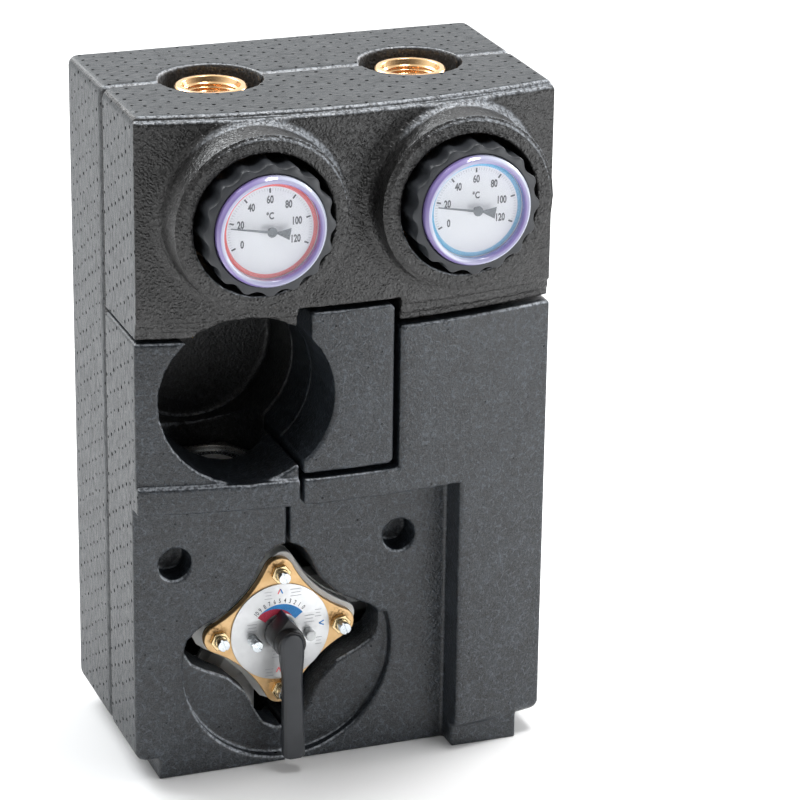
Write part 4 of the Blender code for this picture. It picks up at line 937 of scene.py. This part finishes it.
def make_scale_disc():
    """The silver disc with a two-colour wedge, numbers and small arrow marks."""
    disc = extruded("disc", [circle(0.0305, 128), circle(0.0092, 48)], 0.0008, 0.0002,
                    (VALVE_X, COVER_Y - 0.0003, VALVE_Z), FRONTWARD, LABEL, 1)
    face = COVER_Y - 0.0003 - 0.0008 - 0.00005
    at = (VALVE_X, face, VALVE_Z)
    start, end = math.radians(143), math.radians(38)
    inner, outer, steps = 0.0116, 0.0176, 40
    red, blue = [], []
    low_end, high_end = math.radians(135), math.radians(50)
    for step in range(steps):
        a, b = (start + (end - start) * (step + k) / steps for k in (0, 1))
        cut_a, cut_b = (outer - (outer - inner) * min(1, max(0, (low_end - t) / (low_end - high_end)))
                        for t in (a, b))
        corner = lambda radius, angle: (radius * math.cos(angle), radius * math.sin(angle))
        if max(cut_a, cut_b) > inner + 1e-6:
            red.append([corner(inner, a), corner(cut_a, a), corner(cut_b, b), corner(inner + 1e-6, b)])
        if max(outer - cut_a, outer - cut_b) > 1e-6:
            blue.append([corner(cut_a, a), corner(outer + 1e-6, a), corner(outer, b), corner(cut_b, b)])
    pieces = [disc, flat_shapes("red", red, at, DEEP_RED),
              flat_shapes("blue", blue, at, BLUE)]
    for value in range(11):
        angle = math.radians(44 + 9.4 * value)
        spot = (VALVE_X + 0.0197 * math.cos(angle), face, VALVE_Z + 0.0197 * math.sin(angle))
        pieces.append(lettered(str(value), 0.0040, spot, INK, angle - math.pi / 2, 0.72, 0.00005))
    arm, width = 0.0034, 0.0008
    pieces += caret_mark(at, (0, 0.0257), 90, arm, width, RED, BLUE)
    pieces += caret_mark(at, (0.0257, 0.0020), 180, arm, width, BLUE, BLUE)
    pieces += caret_mark(at, (-0.001, -0.0247), 90, arm, width, RED, RED)
    pieces.append(fine_print(at))
    return dress(merged("scale_disc", pieces), "housing_back", "label_silver", "mixer_scale_disc")


def caret_mark(at, tip, direction, arm, width, first, second):
    """Two strokes that meet at a tip."""
    made = []
    heading = math.radians(direction)
    tip = Vector(tip) + Vector((math.cos(heading), math.sin(heading))) * 0.0017
    for finish, side in ((first, 1), (second, -1)):
        angle = math.radians(direction + 180 - side * 25)
        end = tip + Vector((math.cos(angle), math.sin(angle))) * arm
        made.append(flat_shapes("caret", [bar(tip, end, width)], at, finish))
    return made


def fine_print(at):
    """Plain short strokes where such a disc carries its small print."""
    strokes = []
    groups = [(-0.0098, 0.0262, 0.0048), (0.0062, 0.0262, 0.0068), (-0.0205, 0.0068, 0.0062),
              (0.0150, 0.0080, 0.0060), (-0.0050, -0.0120, 0.0090), (-0.0095, -0.0235, 0.0052),
              (0.0215, 0.0110, 0.0040), (0.0218, -0.0070, 0.0040)]
    for x, z, length in groups:
        for line in range(3):
            left = x + (line % 2) * 0.0006
            height = z - line * 0.0021
            strokes.append(bar((left, height), (left + length - (line % 2) * 0.0012, height), 0.0004))
    return flat_shapes("strokes", strokes, at, PALE_INK)


def slotted_head(name, radius, height, slot_width, slot_depth, at, spin, finish, edge=0.0005):
    """A round head with a slot, standing on a face; at is on that face."""
    profile = softened([(0, height), (radius, height), (radius, 0), (0, 0)], edge, 3, closed=False)
    head = lathe(name, profile, (0, 0, 0), UPWARD, 48, finish, closed=False)
    cutter_mesh = bpy.data.meshes.new("cutter")
    bm = bmesh.new()
    bmesh.ops.create_cube(bm, size=1)
    bmesh.ops.scale(bm, vec=(slot_width, radius * 4, slot_depth * 2), verts=bm.verts)
    bmesh.ops.rotate(bm, cent=(0, 0, 0), matrix=Matrix.Rotation(spin, 3, "Z"), verts=bm.verts)
    bmesh.ops.translate(bm, vec=(0, 0, height), verts=bm.verts)
    bm.to_mesh(cutter_mesh)
    bm.free()
    cutter = bpy.data.objects.new("cutter", cutter_mesh)
    bpy.context.scene.collection.objects.link(cutter)
    step = head.modifiers.new("slot", "BOOLEAN")
    step.operation = "DIFFERENCE"
    step.solver = "EXACT"
    step.object = cutter
    bake_modifiers(head)
    bpy.data.objects.remove(cutter, do_unlink=True)
    head.data.transform(Matrix.Translation(Vector(at)) @ turned_by(FRONTWARD))
    head.data.materials.clear()
    head.data.materials.append(finish)
    smooth(head.data, 30)
    return head


def make_screws():
    """Four slotted screws, each in a gilded hexagon nut."""
    spins = (0.35, 0.35, 0.35, 0.30)
    for index in range(4):
        angle = index * math.pi / 2
        x = VALVE_X + SCREW_CIRCLE * math.cos(angle)
        z = VALVE_Z + SCREW_CIRCLE * math.sin(angle)
        face = COVER_Y - 0.0003
        hexagon = softened(circle(0.0061, 6, start=0.2 + index), 0.0006, 3)
        nut = extruded("nut", [hexagon, circle(0.0037, 32)], 0.0036, 0.0005, (x, face, z), FRONTWARD,
                       GOLD_NUT)
        shank = slotted_head("shank", 0.0036, 0.0100, 0.0012, 0.0014, (x, face, z), spins[index], ZINC)
        dress(merged("cover_screw_set_%d" % (index + 1), [nut, shank]), "housing_back", "zinc_steel",
              "cover_screw_%d" % (index + 1))


def make_stops():
    """The slotted stop screw and the capped pin on the scale disc."""
    base = COVER_Y - 0.0014
    screw = slotted_head("stop_screw", 0.0034, 0.0105, 0.0014, 0.0017,
                         (VALVE_X - 0.0172, base, VALVE_Z - 0.003), math.pi / 2 - 0.5, ZINC)
    dress(screw, "housing_back", "zinc_steel", "lever_stop_screw")
    profile = softened([(0, 0.0062), (0.0026, 0.0062), (0.0032, 0.0056), (0.0032, 0), (0, 0)], 0.0008, 3,
                       closed=False)
    pin = lathe("stop_pin", profile, (VALVE_X + 0.0172, base, VALVE_Z - 0.003), FRONTWARD, 48, WHITE,
                closed=False)
    dress(pin, "housing_back", "ptfe", "lever_stop_pin")


def make_lever():
    """The black hub with its pointed nose, and the slate arm."""
    hub_back, hub_front = -0.0243, -0.0466
    hub = lathe("hub", softened([(0, -hub_front - 0.001), (0.0088, -hub_front - 0.001), (0.0100, -hub_back),
                                 (0, -hub_back)], 0.0012, 4, closed=False),
                (VALVE_X, 0, VALVE_Z), FRONTWARD, 64, BLACK, closed=False)
    root, tip = 0.0096, 0.0150
    lean = math.acos(root / tip)
    outline = [(0, tip)] + arc((0, 0), root, math.pi / 2 + lean, 2.5 * math.pi - lean, 40)
    nose = extruded("nose", [outline], 0.0150, 0.0005, (VALVE_X, hub_back - 0.0005, VALVE_Z), FRONTWARD,
                    BLACK)
    arm = lever_arm()
    return dress(merged("lever", [hub, nose, arm]), "mixer_shutter", "dark_plastic", "mixer_lever")


def lever_arm():
    """The arm: a round knuckle, a waist and a long blade that widens, lofted with bevelled edges."""
    length = VALVE_Z - 0.0090
    stations = [(0.0074, 0.0010), (0.0071, 0.0030), (0.0062, 0.0048), (0.0045, 0.0062), (0.0020, 0.0070),
                (-0.0010, 0.0073), (-0.0050, 0.0072), (-0.0100, 0.0069), (-0.0150, 0.0063),
                (-0.0200, 0.0059), (-0.0260, 0.0058), (-0.0400, 0.0061), (-0.0550, 0.0064),
                (-length + 0.0014, 0.0066),
                (-length + 0.0004, 0.0056), (-length, 0.0048)]
    thick, edge = 0.0066, 0.0016
    bm = bmesh.new()
    rings = []
    for y, half in stations:
        side = max(half - edge, half * 0.3)
        crest = thick + 0.0002
        section = [(-half, 0.0004), (-half, thick - edge), (-side - 0.0003, thick - 0.0003), (-side, thick),
                   (0, crest), (side, thick), (side + 0.0003, thick - 0.0003), (half, thick - edge),
                   (half, 0.0004), (half - 0.0004, 0), (-half + 0.0004, 0)]
        rings.append([bm.verts.new((x, y, z)) for x, z in section])
    for here, after in zip(rings, rings[1:]):
        bridge(bm, here, after)
    bm.faces.new(rings[0])
    bm.faces.new(rings[-1])
    obj = stand("arm", finished(bm, "arm"))
    bevel = obj.modifiers.new("bevel", "BEVEL")
    bevel.width = 0.0004
    bevel.segments = 2
    bevel.limit_method = "ANGLE"
    bevel.angle_limit = math.radians(35)
    bake_modifiers(obj)
    obj.data.transform(Matrix.Translation((VALVE_X, -0.0466 + 0.0055, VALVE_Z))
                       @ turned_by((math.pi / 2 - math.radians(3.5), 0, 0)))
    obj.data.materials.clear()
    obj.data.materials.append(SLATE)
    smooth(obj.data, 25)
    return obj


# --- pump bay ---

def make_union_nuts():
    """The two pump nuts, drawn with more steps than their CAD forms."""
    for name, low, lip_up in (("pump_nut_upper", 0.288, True), ("pump_nut_lower", 0.152, False)):
        high = low + 0.024
        hexagon = softened(circle(0.0295, 6), 0.0012, 3)
        nut = extruded(name + "_body", [hexagon, circle(0.0220, 64)], 0.0203, 0.0008,
                       (-LINE_X, LINE_Y, low if lip_up else low + 0.0037), UPWARD, NICKEL)
        lip_low = high - 0.0037 if lip_up else low
        lip_high = lip_low + 0.0037
        outline = [(0.0285, lip_low), (0.0285, lip_high), (0.0186, lip_high), (0.0186, lip_low)]
        lip = lathe("lip", softened(outline, 0.0006), (-LINE_X, LINE_Y, 0), UPWARD, 64, NICKEL)
        piece = merged(name + "_hexagon", [nut, lip])
        dress(piece, "upper_nut" if lip_up else "lower_nut", "brass", name)
    face = lathe("union_face", softened([(0.0217, 0.1741), (0.0217, 0.1700), (0.0180, 0.1700),
                                         (0.0132, 0.1720), (0.0132, 0.1741)], 0.0006, 3),
                 (-LINE_X, LINE_Y, 0), UPWARD, 96, ZINC)
    dress(face, "housing_back", "painted_casting")


# --- everything else ---

def repaint_hidden():
    """Better materials on the CAD nodes that keep their form."""
    repaint(STEEL, "wall_bracket", "return_pipe", "bypass_pipe", "check_valve_spring")
    repaint(BRASS, "check_valve_body", "return_tee", "mixer_rotor")
    repaint(SLATE, "check_valve_guide", "check_valve_poppet")
    repaint(RUBBER, "mixer_shaft_seal")
    for label in ("flow", "return"):
        repaint(BRASS, label + "_valve_body", label + "_stem", label + "_stem_gland",
                label + "_thermometer_probe")
        repaint(CHROME, label + "_ball")
        repaint(WHITE, label + "_seat_upper", label + "_seat_lower")
        repaint(RUBBER, label + "_stem_seal")
        repaint(SLATE, label + "_thermometer_case")
        repaint(DIAL_FACE, label + "_dial")
        repaint(PANE, label + "_glass")
        repaint(NEEDLE, label + "_pointer")


def make_stage():
    """A wide pale floor."""
    s = Shader("pale_floor")
    s.set(Base_Color=(0.90, 0.90, 0.90), Roughness=0.9)
    mesh = bpy.data.meshes.new("floor")
    reach = 14.0
    mesh.from_pydata([(-reach, -reach, 0), (reach, -reach, 0), (reach, reach, 0), (-reach, reach, 0)], [],
                     [(0, 1, 2, 3)])
    floor = stand("floor", mesh, (0, 0, -0.0002), finish=s.material)
    floor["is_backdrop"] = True


def area_light(name, place, target, size, power, colour=(1, 1, 1)):
    """A soft square lamp that looks at a point."""
    data = bpy.data.lights.new(name, "AREA")
    data.shape = "RECTANGLE"
    data.size, data.size_y = size
    data.energy = power
    data.color = colour
    lamp = bpy.data.objects.new(name, data)
    bpy.context.scene.collection.objects.link(lamp)
    lamp.location = place
    lamp.rotation_euler = (Vector(target) - Vector(place)).to_track_quat("-Z", "Y").to_euler()


def make_lights():
    """Soft lamps, and a world that is bright behind the object for the sheen of its top and side."""
    centre = (0, 0, 0.2)
    area_light("top", (0.45, -0.20, 2.3), centre, (0.7, 0.5), 30)
    area_light("rim", (1.7, 0.65, 0.95), (0.1, 0, 0.33), (0.6, 0.5), 13)
    area_light("wash", (-0.9, 1.7, 1.9), (-0.45, 1.2, 0), (1.6, 1.2), 60, (0.95, 0.98, 1))
    area_light("right", (0.75, -1.05, 0.30), (0.10, 0, 0.2), (0.5, 0.5), 4.0, (0.96, 0.98, 1))
    world = bpy.data.worlds.new("studio")
    bpy.context.scene.world = world
    world.use_nodes = True
    nodes, links = world.node_tree.nodes, world.node_tree.links
    place = nodes.new("ShaderNodeTexCoord")
    axes = nodes.new("ShaderNodeSeparateXYZ")
    ramp = nodes.new("ShaderNodeMapRange")
    ramp.interpolation_type = "SMOOTHSTEP"
    stretch = (("From Min", -1.0), ("From Max", 0.6), ("To Min", WORLD_FRONT), ("To Max", WORLD_BACK))
    for name, value in stretch:
        ramp.inputs[name].default_value = value
    background = nodes["Background"]
    background.inputs["Color"].default_value = (1.0, 1.0, 1.0, 1)
    links.new(place.outputs["Generated"], axes.inputs[0])
    links.new(axes.outputs["Y"], ramp.inputs["Value"])
    links.new(ramp.outputs["Result"], background.inputs["Strength"])


def make_camera():
    """The camera at the photograph's place and lens."""
    azimuth, elevation, roll = (math.radians(angle) for angle in (-20.665, 21.103, 0.820))
    place = Vector((-0.6363, -1.8187, 0.9571))
    back = Vector((math.sin(azimuth) * math.cos(elevation), -math.cos(azimuth) * math.cos(elevation),
                   math.sin(elevation)))
    right = Vector((math.cos(azimuth), math.sin(azimuth), 0))
    up = back.cross(right)
    right, up = (math.cos(roll) * right + math.sin(roll) * up, math.cos(roll) * up - math.sin(roll) * right)
    data = bpy.data.cameras.new("camera")
    data.lens = 159.06
    data.sensor_width = 36
    data.clip_end = 60
    camera = bpy.data.objects.new("camera", data)
    bpy.context.scene.collection.objects.link(camera)
    turn = Matrix((right, up, back)).transposed().to_4x4()
    camera.matrix_world = Matrix.Translation(place) @ turn
    bpy.context.scene.camera = camera


make_camera()
make_housing()
make_isolating_valve("flow", -1, DIAL_RED)
make_isolating_valve("return", 1, DIAL_BLUE)
make_casting()
make_cover()
make_screws()
make_stops()
make_lever()
make_union_nuts()
repaint_hidden()
make_stage()
make_lights()
bpy.context.scene.view_settings.view_transform = "Standard"

{"cad": [list(corner) for corner in CAD_BOX], "visual": [list(c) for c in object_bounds()]}
